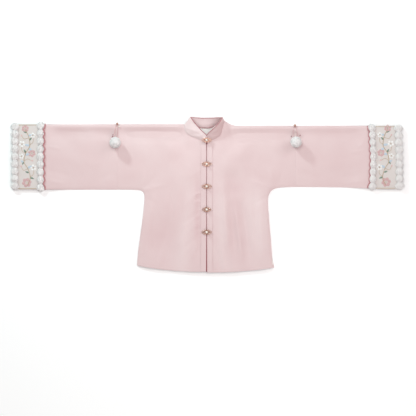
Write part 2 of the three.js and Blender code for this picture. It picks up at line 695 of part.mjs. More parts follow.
// A leaf outline: half an oval at the centre, drawn in a little to a round loop at its tip.
function leafShape(half, withBoss) {
  const top = CLASP_HEIGHT / 2;
  const loopX = half - LOOP_RADIUS;
  const neck = loopX - Math.sqrt(LOOP_RADIUS ** 2 - LOOP_NECK ** 2);
  const loopStart = Math.PI - Math.asin(LOOP_NECK / LOOP_RADIUS);
  const round = withBoss ? BOSS_RADIUS : BOSS_RADIUS + BOSS_CLEAR;
  const roundStart = Math.acos(LEAF_MEET / round);
  const shape = new THREE.Shape();
  if (withBoss) {
    shape.absarc(0, 0, round, -roundStart, roundStart - 2 * Math.PI, true);
  } else {
    shape.absarc(0, 0, round, -roundStart, roundStart, false);
  }
  shape.lineTo(LEAF_MEET, top);
  shape.quadraticCurveTo(neck * LEAF_FULLNESS, top, neck, LOOP_NECK);
  shape.absarc(loopX, 0, LOOP_RADIUS, loopStart, -loopStart, true);
  shape.quadraticCurveTo(neck * LEAF_FULLNESS, -top, LEAF_MEET, -top);
  shape.closePath();
  const leaf = new THREE.Shape(apart(shape.getPoints(CURVE_STEPS)));
  leaf.holes.push(leafHole(loopX, LOOP_HOLE, LOOP_HOLE));
  leaf.holes.push(leafHole((neck + round) / 2, (neck - round) / 2 - EYE_FRAME, EYE_HALF_HEIGHT));
  return leaf;
}

function addLeaf(name, half, withBoss, place, side) {
  const extrude = { depth: CLASP_METAL, bevelEnabled: false, curveSegments: CURVE_STEPS };
  const geometry = new THREE.ExtrudeGeometry(leafShape(half, withBoss), extrude);
  geometry.deleteAttribute('normal');
  geometry.deleteAttribute('uv');
  geometry.scale(side, 1, 1);
  const mesh = add(name, facingOut(geometry), roseGold);
  mesh.position.copy(place);
}

CLASPS.forEach((clasp, i) => {
  const bandTop = Math.max(overFront(-3, clasp.y), overFront(3, clasp.y)) + BAND_CLOTH;
  const place = new THREE.Vector3(0, clasp.y, clasp.rests ?? bandTop + 1.2);
  const name = `clasp_${i + 1}`;
  addLeaf(`${name}_left`, clasp.length / 2, true, place, LEFT);
  addLeaf(`${name}_right`, clasp.length / 2, false, place, RIGHT);
  const ball = add(`${name}_pearl`, new THREE.SphereGeometry(PEARL_RADIUS, 10, 8), pearl);
  ball.position.copy(place).add(new THREE.Vector3(0, 0, CLASP_METAL + SEAM_GAP + PEARL_RADIUS));
});

// ---------------------------------------------------------------- charms

// A bead on the shoulder fold at each sleeve seam, and a plush ball on cords below it.
const POMPOM_RADIUS = 22.5;
const STRAND_RADIUS = 0.8;
const STRAND_SIDES = 8;
const STRAND_STEPS = 12;
// Strand routes from the bead to the ball, as distances from the bead's middle.
const CHARMS = [
  {
    side: LEFT,
    bead: { x: -349, y: 277.5, z: 7.6, radius: 4.6 },
    ball: { x: -354.5, y: 202.6 },
    pearls: [{ x: -341.5, y: 266.5, radius: 3.6 }],
    drops: [{ x: -366.5, y: 227.5, radius: 2.4 }, { x: -365.5, y: 234, radius: 2 }],
    strands: [
      [
        { x: -0.4, y: -5.1, up: 2.6 },
        { x: -1.6, y: -16 },
        { x: -3, y: -30 },
        { x: -4.8, y: -43 },
        { x: -5.2, y: -53.5, up: 6 },
      ],
      [
        { x: -3.2, y: -4.2, up: 2.6 },
        { x: -6.4, y: -16 },
        { x: -9, y: -30 },
        { x: -11, y: -42 },
        { x: -10.6, y: -54.4, up: 5 },
      ],
      [
        { x: 2.2, y: -4.8, up: 2.6 },
        { x: 2.2, y: -16 },
        { x: 2.4, y: -30 },
        { x: 1.6, y: -42 },
        { x: 0.2, y: -54.2, up: 5 },
      ],
    ],
  },
  {
    side: RIGHT,
    bead: { x: 344, y: 271, z: 7.6, radius: 4.6 },
    ball: { x: 346, y: 204.6 },
    pearls: [],
    drops: [{ x: 364, y: 232, radius: 2.4 }, { x: 330, y: 228, radius: 2.2 }],
    strands: [
      [
        { x: 0.2, y: -5.2, up: 2.6 },
        { x: 0.8, y: -14 },
        { x: 1.4, y: -25 },
        { x: 1.8, y: -36 },
        { x: 2, y: -45, up: 6 },
      ],
      [
        { x: -2.8, y: -4.4, up: 2.6 },
        { x: -5.2, y: -14 },
        { x: -7, y: -25 },
        { x: -7.6, y: -35 },
        { x: -6.2, y: -45.6, up: 5 },
      ],
      [
        { x: 2.8, y: -4.4, up: 2.6 },
        { x: 6, y: -14 },
        { x: 8.6, y: -25 },
        { x: 9.8, y: -35 },
        { x: 9.4, y: -45.4, up: 5 },
      ],
    ],
  },
];
const STRAND_CLEAR = 0.7;
const BALL_CLEAR = 0.6;

function onSleeve(x, y, clear) {
  return new THREE.Vector3(x, y, frontTop(x, y) + clear);
}

function addStrand(name, bead, points) {
  const route = points.map((point) => onSleeve(
    bead.x + point.x,
    bead.y + point.y,
    STRAND_RADIUS + STRAND_CLEAR + (point.up ?? 0),
  ));
  const corners = [...Array(STRAND_SIDES).keys()].map((k) => {
    const angle = (2 * Math.PI * k) / STRAND_SIDES;
    return new THREE.Vector2(STRAND_RADIUS * Math.cos(angle), STRAND_RADIUS * Math.sin(angle));
  });
  const geometry = new THREE.ExtrudeGeometry(new THREE.Shape(corners), {
    steps: STRAND_STEPS,
    extrudePath: new THREE.CatmullRomCurve3(route),
    bevelEnabled: false,
  });
  add(name, geometry, silkCord);
}

for (const charm of CHARMS) {
  const name = `charm_${sideName(charm.side)}`;
  const bead = add(`${name}_bead`, new THREE.SphereGeometry(charm.bead.radius, 10, 8), roseGold);
  bead.position.set(charm.bead.x, charm.bead.y, charm.bead.z);
  const ball = add(`${name}_pompom`, new THREE.SphereGeometry(POMPOM_RADIUS, 14, 10), plush);
  ball.position.copy(onSleeve(charm.ball.x, charm.ball.y, POMPOM_RADIUS + BALL_CLEAR));
  charm.pearls.forEach((spot) => {
    const mesh = add(`${name}_pearl`, new THREE.SphereGeometry(spot.radius, 8, 6), pearl);
    mesh.position.copy(onSleeve(spot.x, spot.y, spot.radius + STRAND_CLEAR));
  });
  charm.drops.forEach((spot, i) => {
    const mesh = add(`${name}_drop_${i + 1}`, new THREE.SphereGeometry(spot.radius, 8, 6), garnetGlass);
    mesh.position.copy(onSleeve(spot.x, spot.y, spot.radius + STRAND_CLEAR));
  });
  charm.strands.forEach((points, i) => addStrand(`${name}_cord_${i + 1}`, charm.bead, points));
}

// The origin is the middle of the underside of the whole jacket.
const box = new THREE.Box3().setFromObject(jacket, true);
const middle = box.getCenter(new THREE.Vector3());
jacket.position.set(-middle.x, -middle.y, -box.min.z);

export default jacket;
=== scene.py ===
# %% [markdown]
# # A stand-collar jacket, laid flat
#
# This lesson dresses a jacket whose cut, layers and trims already exist as a fixed CAD frame.
# Blender adds what cloth, fur, thread and metal look like. Each panel of the frame is copied,
# smoothed and creased into thin cloth; the trims are modelled new around the frame's places.
# Everything is in metres, with X along the sleeves, Y from hem to collar and Z up.

# %% Load the frame
import math

import bmesh
import bpy
from mathutils import Matrix, Vector, noise
from mathutils.bvhtree import BVHTree
from mathutils.kdtree import KDTree


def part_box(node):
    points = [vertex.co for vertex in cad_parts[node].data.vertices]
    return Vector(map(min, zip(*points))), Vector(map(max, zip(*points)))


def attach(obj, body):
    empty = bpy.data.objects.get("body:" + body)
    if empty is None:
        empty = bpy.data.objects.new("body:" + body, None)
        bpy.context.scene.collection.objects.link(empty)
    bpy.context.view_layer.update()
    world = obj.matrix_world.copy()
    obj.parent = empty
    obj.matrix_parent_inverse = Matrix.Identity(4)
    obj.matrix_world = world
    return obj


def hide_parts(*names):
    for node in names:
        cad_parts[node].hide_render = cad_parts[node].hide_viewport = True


MM = 0.001
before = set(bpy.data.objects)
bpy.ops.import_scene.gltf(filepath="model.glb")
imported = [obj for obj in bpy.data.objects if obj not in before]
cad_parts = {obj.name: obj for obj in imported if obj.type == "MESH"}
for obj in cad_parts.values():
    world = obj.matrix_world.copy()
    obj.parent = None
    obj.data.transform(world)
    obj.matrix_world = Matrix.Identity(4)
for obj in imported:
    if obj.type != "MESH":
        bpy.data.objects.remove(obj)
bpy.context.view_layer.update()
scene = bpy.context.scene

# %% [markdown]
# ## A tape measure from the garment's middle
#
# A maker measures a jacket from its centre-front line, in millimetres. The frame's origin is the
# middle of everything, trims too, and lies a little to the side of that line. Two small
# functions translate, so every size below is what a tape would read on the garment.

# %% Places on the garment
MIDDLE = Vector((-2.949, -0.832, 0.0)) * MM
LEFT, RIGHT = "left", "right"
SIGNS = {LEFT: -1, RIGHT: 1}


def spot(x, y, z=0.0):
    """A point in the frame, from millimetres measured on the garment."""
    return MIDDLE + Vector((x, y, z)) * MM


def tape(place):
    """The millimetres across and up the garment at a point in the frame."""
    return (place.x - MIDDLE.x) / MM, (place.y - MIDDLE.y) / MM


print("centre-front line at x =", round(MIDDLE.x, 5))

# %% [markdown]
# ## The camera
#
# A flat-lay is seen from straight above, so that the outline keeps its proportions. A long lens
# held far away shows almost no perspective. The distance follows from the lens: the view's width
# on the surface is the sensor's width times the distance over the focal length.

# %% Camera
VIEW_WIDTH = 1.6224
VIEW_CENTRE = spot(5.1, -50.9)
CLOTH_LEVEL = 0.005
lens = bpy.data.cameras.new("camera")
lens.lens = 85
lens.sensor_width = 36
camera = bpy.data.objects.new("camera", lens)
distance = VIEW_WIDTH * lens.lens / lens.sensor_width
camera.location = VIEW_CENTRE + Vector((0, 0, CLOTH_LEVEL + distance))
scene.collection.objects.link(camera)
scene.camera = camera
scene.view_settings.view_transform = "Standard"
print("camera", round(distance, 3), "m above the cloth")

# %% [markdown]
# ## Light and floor
#
# A packshot table is lit from all round, which leaves only soft folds in pale cloth. One small,
# slightly cool lamp at the upper left draws the shadows beside the trims. A lamp overhead gives
# the satin its soft shine. A wide window below and a bounce card at the right open the shadows.
# A uniform sky stands in for the white walls, and the floor is a plain white sheet.

# %% Colours and nodes
def colour(code):
    """A hex sRGB colour as linear red, green, blue and alpha."""
    parts = [int(code[i:i + 2], 16) / 255 for i in (0, 2, 4)]
    linear = [c / 12.92 if c <= 0.04045 else ((c + 0.055) / 1.055) ** 2.4 for c in parts]
    return (*linear, 1.0)


def add(tree, kind, inputs=None, **settings):
    """Add a node; each input is a value, or the output of another node."""
    node = tree.nodes.new(kind)
    for name, value in settings.items():
        setattr(node, name, value)
    for name, value in (inputs or {}).items():
        if isinstance(value, bpy.types.NodeSocket):
            tree.links.new(value, node.inputs[name])
        else:
            node.inputs[name].default_value = value
    return node


def new_material(name, **sockets):
    """A named material and its tree, with even values set on the shader's own sockets."""
    material = bpy.data.materials.new(name)
    material.use_nodes = True
    shader = material.node_tree.nodes["Principled BSDF"]
    for socket, value in sockets.items():
        shader.inputs[socket.replace("_", " ")].default_value = value
    return material, material.node_tree, shader


# %% Sky, lamps and floor
SKY_STRENGTH = 0.57
world = bpy.data.worlds.new("white room")
world.use_nodes = True
sky = world.node_tree.nodes["Background"]
sky.inputs["Color"].default_value = colour("FFFAF9")
sky.inputs["Strength"].default_value = SKY_STRENGTH
scene.world = world

# Each row: name, place and size in metres, power in watts, and tint.
LAMPS = [
    ("key", (-2.2, 2.9, 1.55), 0.35, 68, "DEFFFF"),
    ("overhead", (-0.1, 0.6, 1.5), 0.5, 6.2, "FFFFFF"),
    ("window", (0.6, -2.6, 2.4), 2.0, 30, "FFFFFF"),
    ("bounce", (2.6, 1.6, 2.0), 1.6, 24, "FFFFFF"),
]
for name, place, size, power, tint in LAMPS:
    lamp = bpy.data.lights.new(name, "AREA")
    lamp.size, lamp.energy, lamp.color = size, power, colour(tint)[:3]
    holder = bpy.data.objects.new(name, lamp)
    holder.location = place
    holder.rotation_euler = (-Vector(place)).to_track_quat("-Z", "Y").to_euler()
    scene.collection.objects.link(holder)

FLOOR_HALF = 4.0
paper, _, _ = new_material("matt white paper", Base_Color=colour("FEFDFD"), Roughness=0.9,
                           Specular_IOR_Level=0.1)
bm = bmesh.new()
bmesh.ops.create_grid(bm, x_segments=1, y_segments=1, size=FLOOR_HALF)
floor_mesh = bpy.data.meshes.new("floor")
bm.to_mesh(floor_mesh)
bm.free()
floor = bpy.data.objects.new("floor", floor_mesh)
floor_mesh.materials.append(paper)
scene.collection.objects.link(floor)
print("lamps:", len(LAMPS), "sky", SKY_STRENGTH)

# %% [markdown]
# ## Woven satin
#
# Satin is woven so that long threads float over many others. It feels smooth in one direction
# and gives the eye a soft, milky shine. The floats of this cloth are about 0.2 mm wide and 2 mm
# long; they are drawn about three times as coarse so that a close view can show them. A much
# larger pattern shifts the colour by a hair, as dye and handling do. On top of that, a piece can
# paint light and shade into the colour at each of its points, lighter or deeper as broad swells
# would look under the lamps, in a float attribute that is added to the larger pattern.

# %% Patterns for all materials
def speckle(tree, scale, detail=2.0, stretch=None):
    """Noise on a piece's own Object coordinates, which can be stretched."""
    place = add(tree, "ShaderNodeTexCoord").outputs["Object"]
    if stretch:
        place = add(tree, "ShaderNodeMapping", {"Vector": place, "Scale": stretch}).outputs[0]
    return add(tree, "ShaderNodeTexNoise",
               {"Vector": place, "Scale": scale, "Detail": detail}).outputs["Fac"]


def two_tone(tree, shader, factor, low, high, **settings):
    """Colour a shader with a pattern between two colours."""
    mix = add(tree, "ShaderNodeMix", {"Factor": factor}, data_type="RGBA", **settings)
    mix.inputs[6].default_value, mix.inputs[7].default_value = low, high
    tree.links.new(mix.outputs[2], shader.inputs["Base Color"])


def uneven(tree, shader, pattern, low, high):
    """Let a pattern's middle range take the roughness from low to high."""
    spread = add(tree, "ShaderNodeMapRange", {"Value": pattern, "From Min": 0.3, "From Max": 0.7,
                                              "To Min": low, "To Max": high})
    tree.links.new(spread.outputs[0], shader.inputs["Roughness"])


def relief(tree, shader, pattern, strength, depth):
    """Raise a pattern in the shader's normal, by a depth in millimetres."""
    bump = add(tree, "ShaderNodeBump", {"Height": pattern, "Strength": strength,
                                        "Distance": depth * MM})
    tree.links.new(bump.outputs[0], shader.inputs["Normal"])


# %% A cloth material
FLOAT_WIDE, FLOAT_LONG, FLOAT_DEPTH = 0.6, 5.0, 0.2
MOTTLE_SCALE = 9.0


def satin(name, hexes, roughness=0.42, strength=0.1, **sockets):
    """Woven satin: mottled dye plus painted light and shade, and a relief of long floating threads.
    """
    material, tree, shader = new_material(name, Specular_IOR_Level=0.7, **sockets)
    # The attribute holds painted light and shade, added to the dye's mottle.
    tuft_lean_and_painted_light = add(tree, "ShaderNodeAttribute", attribute_name="tuft_lean_and_painted_light").outputs["Fac"]
    tone = add(tree, "ShaderNodeMath", {0: speckle(tree, MOTTLE_SCALE, 3.0), 1: tuft_lean_and_painted_light}).outputs[0]
    two_tone(tree, shader, tone, *(colour(code) for code in hexes), clamp_factor=False)
    across, along = 1 / (FLOAT_WIDE * MM), 1 / (FLOAT_LONG * MM)
    floats = speckle(tree, 1.0, 1.0, (across, along, along))
    uneven(tree, shader, floats, roughness - 0.05, roughness + 0.06)
    relief(tree, shader, floats, strength, FLOAT_DEPTH)
    return material


SHEEN = {"Sheen_Weight": 0.06, "Sheen_Roughness": 0.4}
pink_satin = satin("pale pink polyester satin", ("D4B7B8", "DDC7C7"), **SHEEN)
# Two copies of the satin for the collar wings: one painted light, one painted shade.
painted_lit_satin = satin("pale pink satin, painted lighter as if lit", ("D8C3C3", "E2CDCD"), **SHEEN)
painted_shaded_satin = satin("pale pink satin, painted deeper as if shaded", ("CAACAC", "D2B6B6"), **SHEEN)
rose_satin = satin("rose bias-cut satin", ("B4777C", "BB8285"), **SHEEN)
# A deep rose copy of the satin is painted shade, for the dark gap between the fronts.
painted_shade_rose = satin("satin painted deep rose as shade in the opening", ("A5525A", "AC5A62"), **SHEEN)
ivory_satin = satin("ivory satin", ("D0C7C3", "D6CDCA"), 0.45, **SHEEN)
white_lining = satin("white polyester lining", ("E6E1DD", "EAE5E2"), 0.55, strength=0.06)
print("cloths:", [m.name for m in (pink_satin, rose_satin, ivory_satin, white_lining)])

# %% [markdown]
# ## A finished piece
#
# Every piece ends the same way. Its bmesh becomes a mesh on an object at the origin, it takes a
# material, it rides on the garment's one body, and it hides the CAD nodes that it replaces.

# %% Helpers for pieces
TRIANGLES = {}


def piece(name, bm, material, nodes=(), smooth=True):
    """Turn a bmesh into a finished piece of the garment."""
    mesh = bpy.data.meshes.new(name)
    bm.to_mesh(mesh)
    bm.free()
    if smooth:
        mesh.shade_smooth()
    mesh.materials.append(material)
    made = bpy.data.objects.new(name, mesh)
    scene.collection.objects.link(made)
    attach(made, "root")
    if nodes:
        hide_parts(*nodes)
    mesh.calc_loop_triangles()
    TRIANGLES[name] = len(mesh.loop_triangles)
    return made


def middle_of(node):
    """The centre and the radius of a round CAD node."""
    low, high = (Vector(corner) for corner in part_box(node))
    return (low + high) / 2, (high.z - low.z) / 2


def copy_of(*nodes):
    """The merged mesh of one or more CAD nodes."""
    bm = bmesh.new()
    for node in nodes:
        bm.from_mesh(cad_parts[node].data)
    bmesh.ops.remove_doubles(bm, verts=bm.verts, dist=0.01 * MM)
    bm.normal_update()
    return bm


def modified(bm, *modifiers):
    """Run a bmesh through modifiers, each a kind and its settings, and hand back the result."""
    rough = bpy.data.meshes.new("rough")
    bm.to_mesh(rough)
    bm.free()
    work = bpy.data.objects.new("work", rough)
    scene.collection.objects.link(work)
    for kind, settings in modifiers:
        modifier = work.modifiers.new(kind, kind)
        for name, value in settings.items():
            setattr(modifier, name, value)
    graph = bpy.context.evaluated_depsgraph_get()
    fine = bpy.data.meshes.new_from_object(work.evaluated_get(graph))
    bpy.data.objects.remove(work)
    bm = bmesh.new()
    bm.from_mesh(fine)
    bpy.data.meshes.remove(fine)
    bpy.data.meshes.remove(rough)
    bm.normal_update()
    return bm


def subdivision(levels):
    """Catmull-Clark smoothing that leaves a panel's corners where they are."""
    settings = {"levels": levels, "render_levels": levels, "boundary_smooth": "PRESERVE_CORNERS"}
    return ("SUBSURF", settings)


# %% [markdown]
# ## The charms' cords
#
# On each sleeve a plush ball hangs by three short silk cords from a bead on the shoulder fold.
# The cords lie on the sleeve in a narrow fan, and run into the bead above and the ball below. A
# laid cord is three plies twisted together, so its section is a rounded clover that turns as it
# goes. The section is a circle, extruded along the route one short step at a time.

# %% The route of a cord
CORD = 1.6
CORD_CLEAR = 0.7
ROUTE_POINTS = 24
HIGH = 100


def lies_on(x, y, nodes):
    """The height of the CAD cloth at a place, in millimetres."""
    start, down = spot(x, y, HIGH), Vector((0, 0, -1))
    hits = [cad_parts[node].ray_cast(start, down) for node in nodes]
    return max(hit[1].z for hit in hits if hit[0]) / MM


def smooth_route(points, count):
    """A smooth curve through points: even steps of a Catmull-Rom spline."""
    ends = [2 * points[0] - points[1], *points, 2 * points[-1] - points[-2]]
    route = []
    for step in range(count):
        place = step / (count - 1) * (len(points) - 1)
        i = min(int(place), len(points) - 2)
        t = place - i
        a, b, c, d = ends[i:i + 4]
        bend = (2 * a - 5 * b + 4 * c - d) * t * t + (3 * b - a - 3 * c + d) * t ** 3
        route.append((2 * b + (c - a) * t + bend) / 2)
    return route


def extrude(bm, edges):
    """Extrude edges by one step, and hand back the new points and the new edges."""
    made = bmesh.ops.extrude_edge_only(bm, edges=edges)["geom"]
    return ([item for item in made if isinstance(item, bmesh.types.BMVert)],
            [item for item in made if isinstance(item, bmesh.types.BMEdge)])


def length_of(route):
    """The length of a route of points."""
    return sum((b - a).length for a, b in zip(route, route[1:]))


# %% A swept cord
# Half the depth of the grooves between plies, as a share of the radius.
GROOVE = 0.14


def sweep(bm, route, radius, sides=8, plies=0, turn=1.0):
    """Extrude a ring of points along a route; plies make it a clover that turns as it goes."""
    ring = bmesh.ops.create_circle(bm, segments=sides, radius=1.0)["verts"]
    angle = {vert: math.atan2(vert.co.y, vert.co.x) for vert in ring}
    edges = list(dict.fromkeys(edge for vert in ring for edge in vert.link_edges))
    first, travelled = list(ring), 0.0
    for i, centre in enumerate(route):
        ahead = (route[min(i + 1, len(route) - 1)] - route[max(i - 1, 0)]).normalized()
        side = ahead.cross(Vector((0, 0, 1))).normalized()
        up = side.cross(ahead)
        if i:
            travelled += (centre - route[i - 1]).length
            ring, edges = extrude(bm, edges)
            before, angle = angle, {}
            for vert in ring:
                neighbours = (edge.other_vert(vert) for edge in vert.link_edges)
                angle[vert] = before[next(other for other in neighbours if other in before)]
        for vert, a in angle.items():
            waist = GROOVE * (1 + math.cos(plies * (a - 2 * math.pi * travelled / turn)))
            reach = radius * (1 - waist if plies else 1)
            vert.co = centre + reach * (side * math.cos(a) + up * math.sin(a))
    bmesh.ops.contextual_create(bm, geom=first)
    bmesh.ops.contextual_create(bm, geom=ring)
    return bm


# %% Silk and its cords
# Fibre streaks of 0.1 mm are drawn 0.4 mm wide, and a lit fibre is a fifth lighter.
STREAK, LIT = 0.4, 1.22


def silk(name, code):
    """Twisted silk: a smooth sheen, streaked by its fibres."""
    material, tree, shader = new_material(name, Roughness=0.42, Sheen_Weight=0.3,
                                          Sheen_Roughness=0.3)
    fibre = speckle(tree, 1 / (STREAK * MM), 1.0)
    lit = tuple(min(c * LIT, 1.0) for c in colour(code))
    two_tone(tree, shader, fibre, colour(code), lit)
    relief(tree, shader, fibre, 0.3, 0.1)
    return material


rose_silk = silk("twisted rose silk", "C59A9A")
pale_silk = silk("twisted pale silk", "DDC9C4")
# For each side the bead's place, and the points of its strands from there: across, up the
# garment, and height over a cord that lies on the cloth.
CHARMS = {
    LEFT: ((-349, 277.5), [
        [(-0.4, -5.1, 2.6), (-1.6, -16, 0), (-3, -30, 0), (-4.8, -43, 0), (-5.2, -53.5, 6)],
        [(-3.2, -4.2, 2.6), (-6.4, -16, 0), (-9, -30, 0), (-11, -42, 0), (-10.6, -54.4, 5)],
        [(2.2, -4.8, 2.6), (2.2, -16, 0), (2.4, -30, 0), (1.6, -42, 0), (0.2, -54.2, 5)],
    ]),
    RIGHT: ((344, 271), [
        [(0.2, -5.2, 2.6), (0.8, -14, 0), (1.4, -25, 0), (1.8, -36, 0), (2, -45, 6)],
        [(-2.8, -4.4, 2.6), (-5.2, -14, 0), (-7, -25, 0), (-7.6, -35, 0), (-6.2, -45.6, 5)],
        [(2.8, -4.4, 2.6), (6, -14, 0), (8.6, -25, 0), (9.8, -35, 0), (9.4, -45.4, 5)],
    ]),
}
for side, (bead, strands) in CHARMS.items():
    cloth = (f"body_front_{side}", f"sleeve_front_{side}")
    for number, strand in enumerate(strands, start=1):
        points = []
        for dx, dy, rise in strand:
            x, y = bead[0] + dx, bead[1] + dy
            points.append(spot(x, y, lies_on(x, y, cloth) + CORD / 2 + CORD_CLEAR + rise))
        route = smooth_route(points, ROUTE_POINTS)
        bm = sweep(bmesh.new(), smooth_route(points, 3 * ROUTE_POINTS), CORD / 2 * MM, sides=12,
                   plies=3, turn=6 * MM)
        node = f"charm_{side}_cord_{number}"
        strand_silk = pale_silk if number == 1 else rose_silk
        cord = piece(node.replace("cord", "silk"), bm, strand_silk, [node])
        print(cord.name, round(length_of(route) / MM, 1), "mm")

# %% [markdown]
# ## Cloth from a CAD panel
#
# A panel in the frame is a closed wall of a few large facets. Its upper side, taken alone and
# joined back into quads, is the sewing pattern lying in its folds. Catmull-Clark turns it into a
# fine, smooth sheet. Soft creases are then laid in one by one as bell-shaped ridges and troughs,
# because cloth that is pressed and laid down keeps only a few long, shallow ones.

# %% The upper side of a panel
FACES_UP = 0.25
CORNER = math.radians(50)


def keep_corners(bm):
    """Crease the points where an outline turns sharply, so that smoothing leaves them."""
    layer = bm.verts.layers.float.new("crease_vert")
    for vert in bm.verts:
        rim = [edge.other_vert(vert).co - vert.co for edge in vert.link_edges if edge.is_boundary]
        if len(rim) == 2 and rim[0].angle(-rim[1]) > CORNER:
            vert[layer] = 1.0


def upper_side(*nodes):
    """The side of a CAD panel that faces up, as a coarse sheet of quads."""
    bm = copy_of(*nodes)
    under = [face for face in bm.faces if face.normal.z < FACES_UP]
    bmesh.ops.delete(bm, geom=under, context="FACES")
    bmesh.ops.join_triangles(bm, faces=bm.faces, angle_face_threshold=math.pi,
                             angle_shape_threshold=math.pi)
    keep_corners(bm)
    return bm


# %% Creases, as a table of soft ridges and troughs
# Each row: from (x, y) to (x, y), half its width, and how far it rises, all in millimetres.
CREASES = [
    # left front: short drag lines beside the lower fastenings
    (-30, -68, -92, -112, 7, -0.5), (-32, -100, -84, -160, 6, 0.4), (-30, -158, -96, -214, 8, -0.5),
    (-34, -190, -70, -262, 7, 0.6), (-28, 12, -80, -34, 8, 0.3), (-30, 96, -78, 62, 9, 0.25),
    (-24, 8, -46, 0, 4.5, 0.4), (-24, -8, -44, -18, 4.5, -0.4), (-24, -26, -48, -30, 4.5, 0.45),
    (-24, -43, -45, -52, 4.5, -0.4), (-24, -78, -47, -84, 4.5, 0.45),
    (-24, -96, -44, -98, 4.5, -0.4), (-24, -113, -46, -124, 4.5, 0.4),
    (-24, -130, -42, -134, 4.5, -0.35),
    # left front: long slack folds from chest to hem
    (-128, 20, -166, -232, 17, -1.1), (-98, 60, -140, -120, 20, 0.8),
    (-214, -10, -236, -214, 14, 1.0), (-150, -160, -186, -284, 12, 0.8),
    (-226, -140, -252, -262, 9, -0.7), (-62, -30, -118, -236, 12, 0.4),
    (-92, -50, -150, -300, 36, -1.6), (-256, -40, -262, -250, 26, 1.6),
    (-84, -90, -96, -260, 16, 1.0),
    # left front: broad swells, one beside the placket and two across the lower panel
    (-62, 60, -38, -330, 24, 0.9), (-232, -20, -240, -320, 52, 1.3),
    (-240, -60, -120, -64, 46, 0.9),
    # left armpit, fanning into the chest
    (-246, 22, -196, 78, 10, -0.5), (-250, 16, -168, 40, 9, 0.4), (-244, -10, -196, -34, 8, -0.3),
    (-262, 28, -244, 96, 11, 0.4),
    # left chest and shoulder
    (-178, 244, -120, 150, 26, 0.9), (-120, 236, -60, 160, 18, -0.5),
    (-310, 150, -230, 120, 30, -0.6),
    # right front
    (34, -200, 52, -296, 6, -0.8), (56, -190, 70, -298, 6, 0.7), (78, -200, 92, -296, 7, -0.8),
    (22, -66, 64, -96, 7, 0.25), (26, -130, 70, -176, 8, -0.3), (24, 100, 70, 70, 9, 0.2),
    (188, 10, 196, -240, 15, -0.9), (232, -60, 240, -240, 8, 0.7), (60, 60, 84, -60, 16, 0.6),
    (88, -10, 112, -230, 11, -1.6), (140, -40, 164, -240, 11, -1.6), (114, -60, 138, -240, 9, 2.0),
    (100, 96, 96, -10, 30, -0.9), (212, -40, 218, -240, 20, 1.2), (66, -30, 84, -220, 10, 1.4),
    (172, -50, 188, -230, 9, 0.9),
    # right front: the two broad swells on each side of the valley
    (70, 90, 108, -330, 34, 1.3), (234, 60, 230, -330, 50, 1.5),
    # right armpit
    (240, 24, 186, 84, 10, -0.7), (252, 30, 176, 52, 9, 0.5), (238, -8, 190, -30, 8, -0.4),
    (262, 38, 250, 104, 11, 0.5), (280, 40, 292, 88, 9, -0.4),
    # right chest and shoulder
    (190, 232, 120, 140, 28, 0.8), (120, 220, 64, 150, 18, -0.4), (300, 160, 220, 120, 30, -0.5),
    # sleeves: long shallow waves, and short creases where the cuffs hold them
    (-620, 236, -500, 196, 20, -0.6), (-600, 150, -420, 118, 26, 0.7),
    (-630, 96, -520, 70, 14, -0.6), (-628, 58, -560, 44, 8, 0.5), (-630, 192, -572, 180, 7, 0.5),
    (-480, 240, -380, 214, 18, 0.5), (-420, 60, -360, 84, 14, -0.5),
    (-560, 250, -460, 244, 7, -0.4), (618, 226, 520, 190, 18, -0.7), (606, 132, 420, 110, 26, 0.7),
    (620, 84, 516, 66, 13, -0.6), (618, 52, 556, 46, 8, 0.6), (622, 176, 566, 166, 7, 0.6),
    (470, 236, 376, 216, 18, 0.5), (430, 64, 360, 88, 14, -0.5), (590, 244, 470, 240, 7, -0.4),
    (616, 206, 588, 184, 6, 0.5),
]


def bell(distance, half_width):
    """A soft bump: one at its middle, fading to nothing."""
    return math.exp(-(distance / half_width) ** 2)


def ease(low, high, value):
    """Rise smoothly from nought to one between two values."""
    t = min(max((value - low) / (high - low), 0.0), 1.0)
    return t * t * (3 - 2 * t)


def crease_at(x, y, table):
    """The height that a table of creases adds at a place, in millimetres."""
    height = 0.0
    for x0, y0, x1, y1, half_width, rise in table:
        dx, dy = x1 - x0, y1 - y0
        length = math.hypot(dx, dy)
        along = ((x - x0) * dx + (y - y0) * dy) / length ** 2
        across = ((x - x0) * dy - (y - y0) * dx) / length
        if -0.2 < along < 1.2 and abs(across) < 2.5 * half_width:
            taper = ease(-0.2, 0.3, along) * ease(1.2, 0.7, along)
            height += rise * taper * bell(across, half_width)
    return height


def raised(bm, height_at):
    """Raise each point by a height in millimetres that follows from its place."""
    for vert in bm.verts:
        vert.co.z += height_at(*tape(vert.co)) * MM
    bm.normal_update()
    return bm


def slack_at(x, y):
    """The faint unevenness that any laid cloth keeps, in millimetres."""
    broad = noise.noise(Vector((x / 95, y / 120, 0.3)))
    fine = noise.noise(Vector((x / 26, y / 38, 7.1)))
    return 0.7 * broad + 0.16 * fine


# %% [markdown]
# ## Turning the edges
#
# A cut edge is never left raw. Where the front meets the back in a fold, the cloth rolls over
# and down to the layer below. At hems, the front opening and seams it is turned in by a few
# millimetres and pressed to a soft lip. Both are the outline's edges, extruded in small steps
# that follow a table of (outward, share of the height, drop).

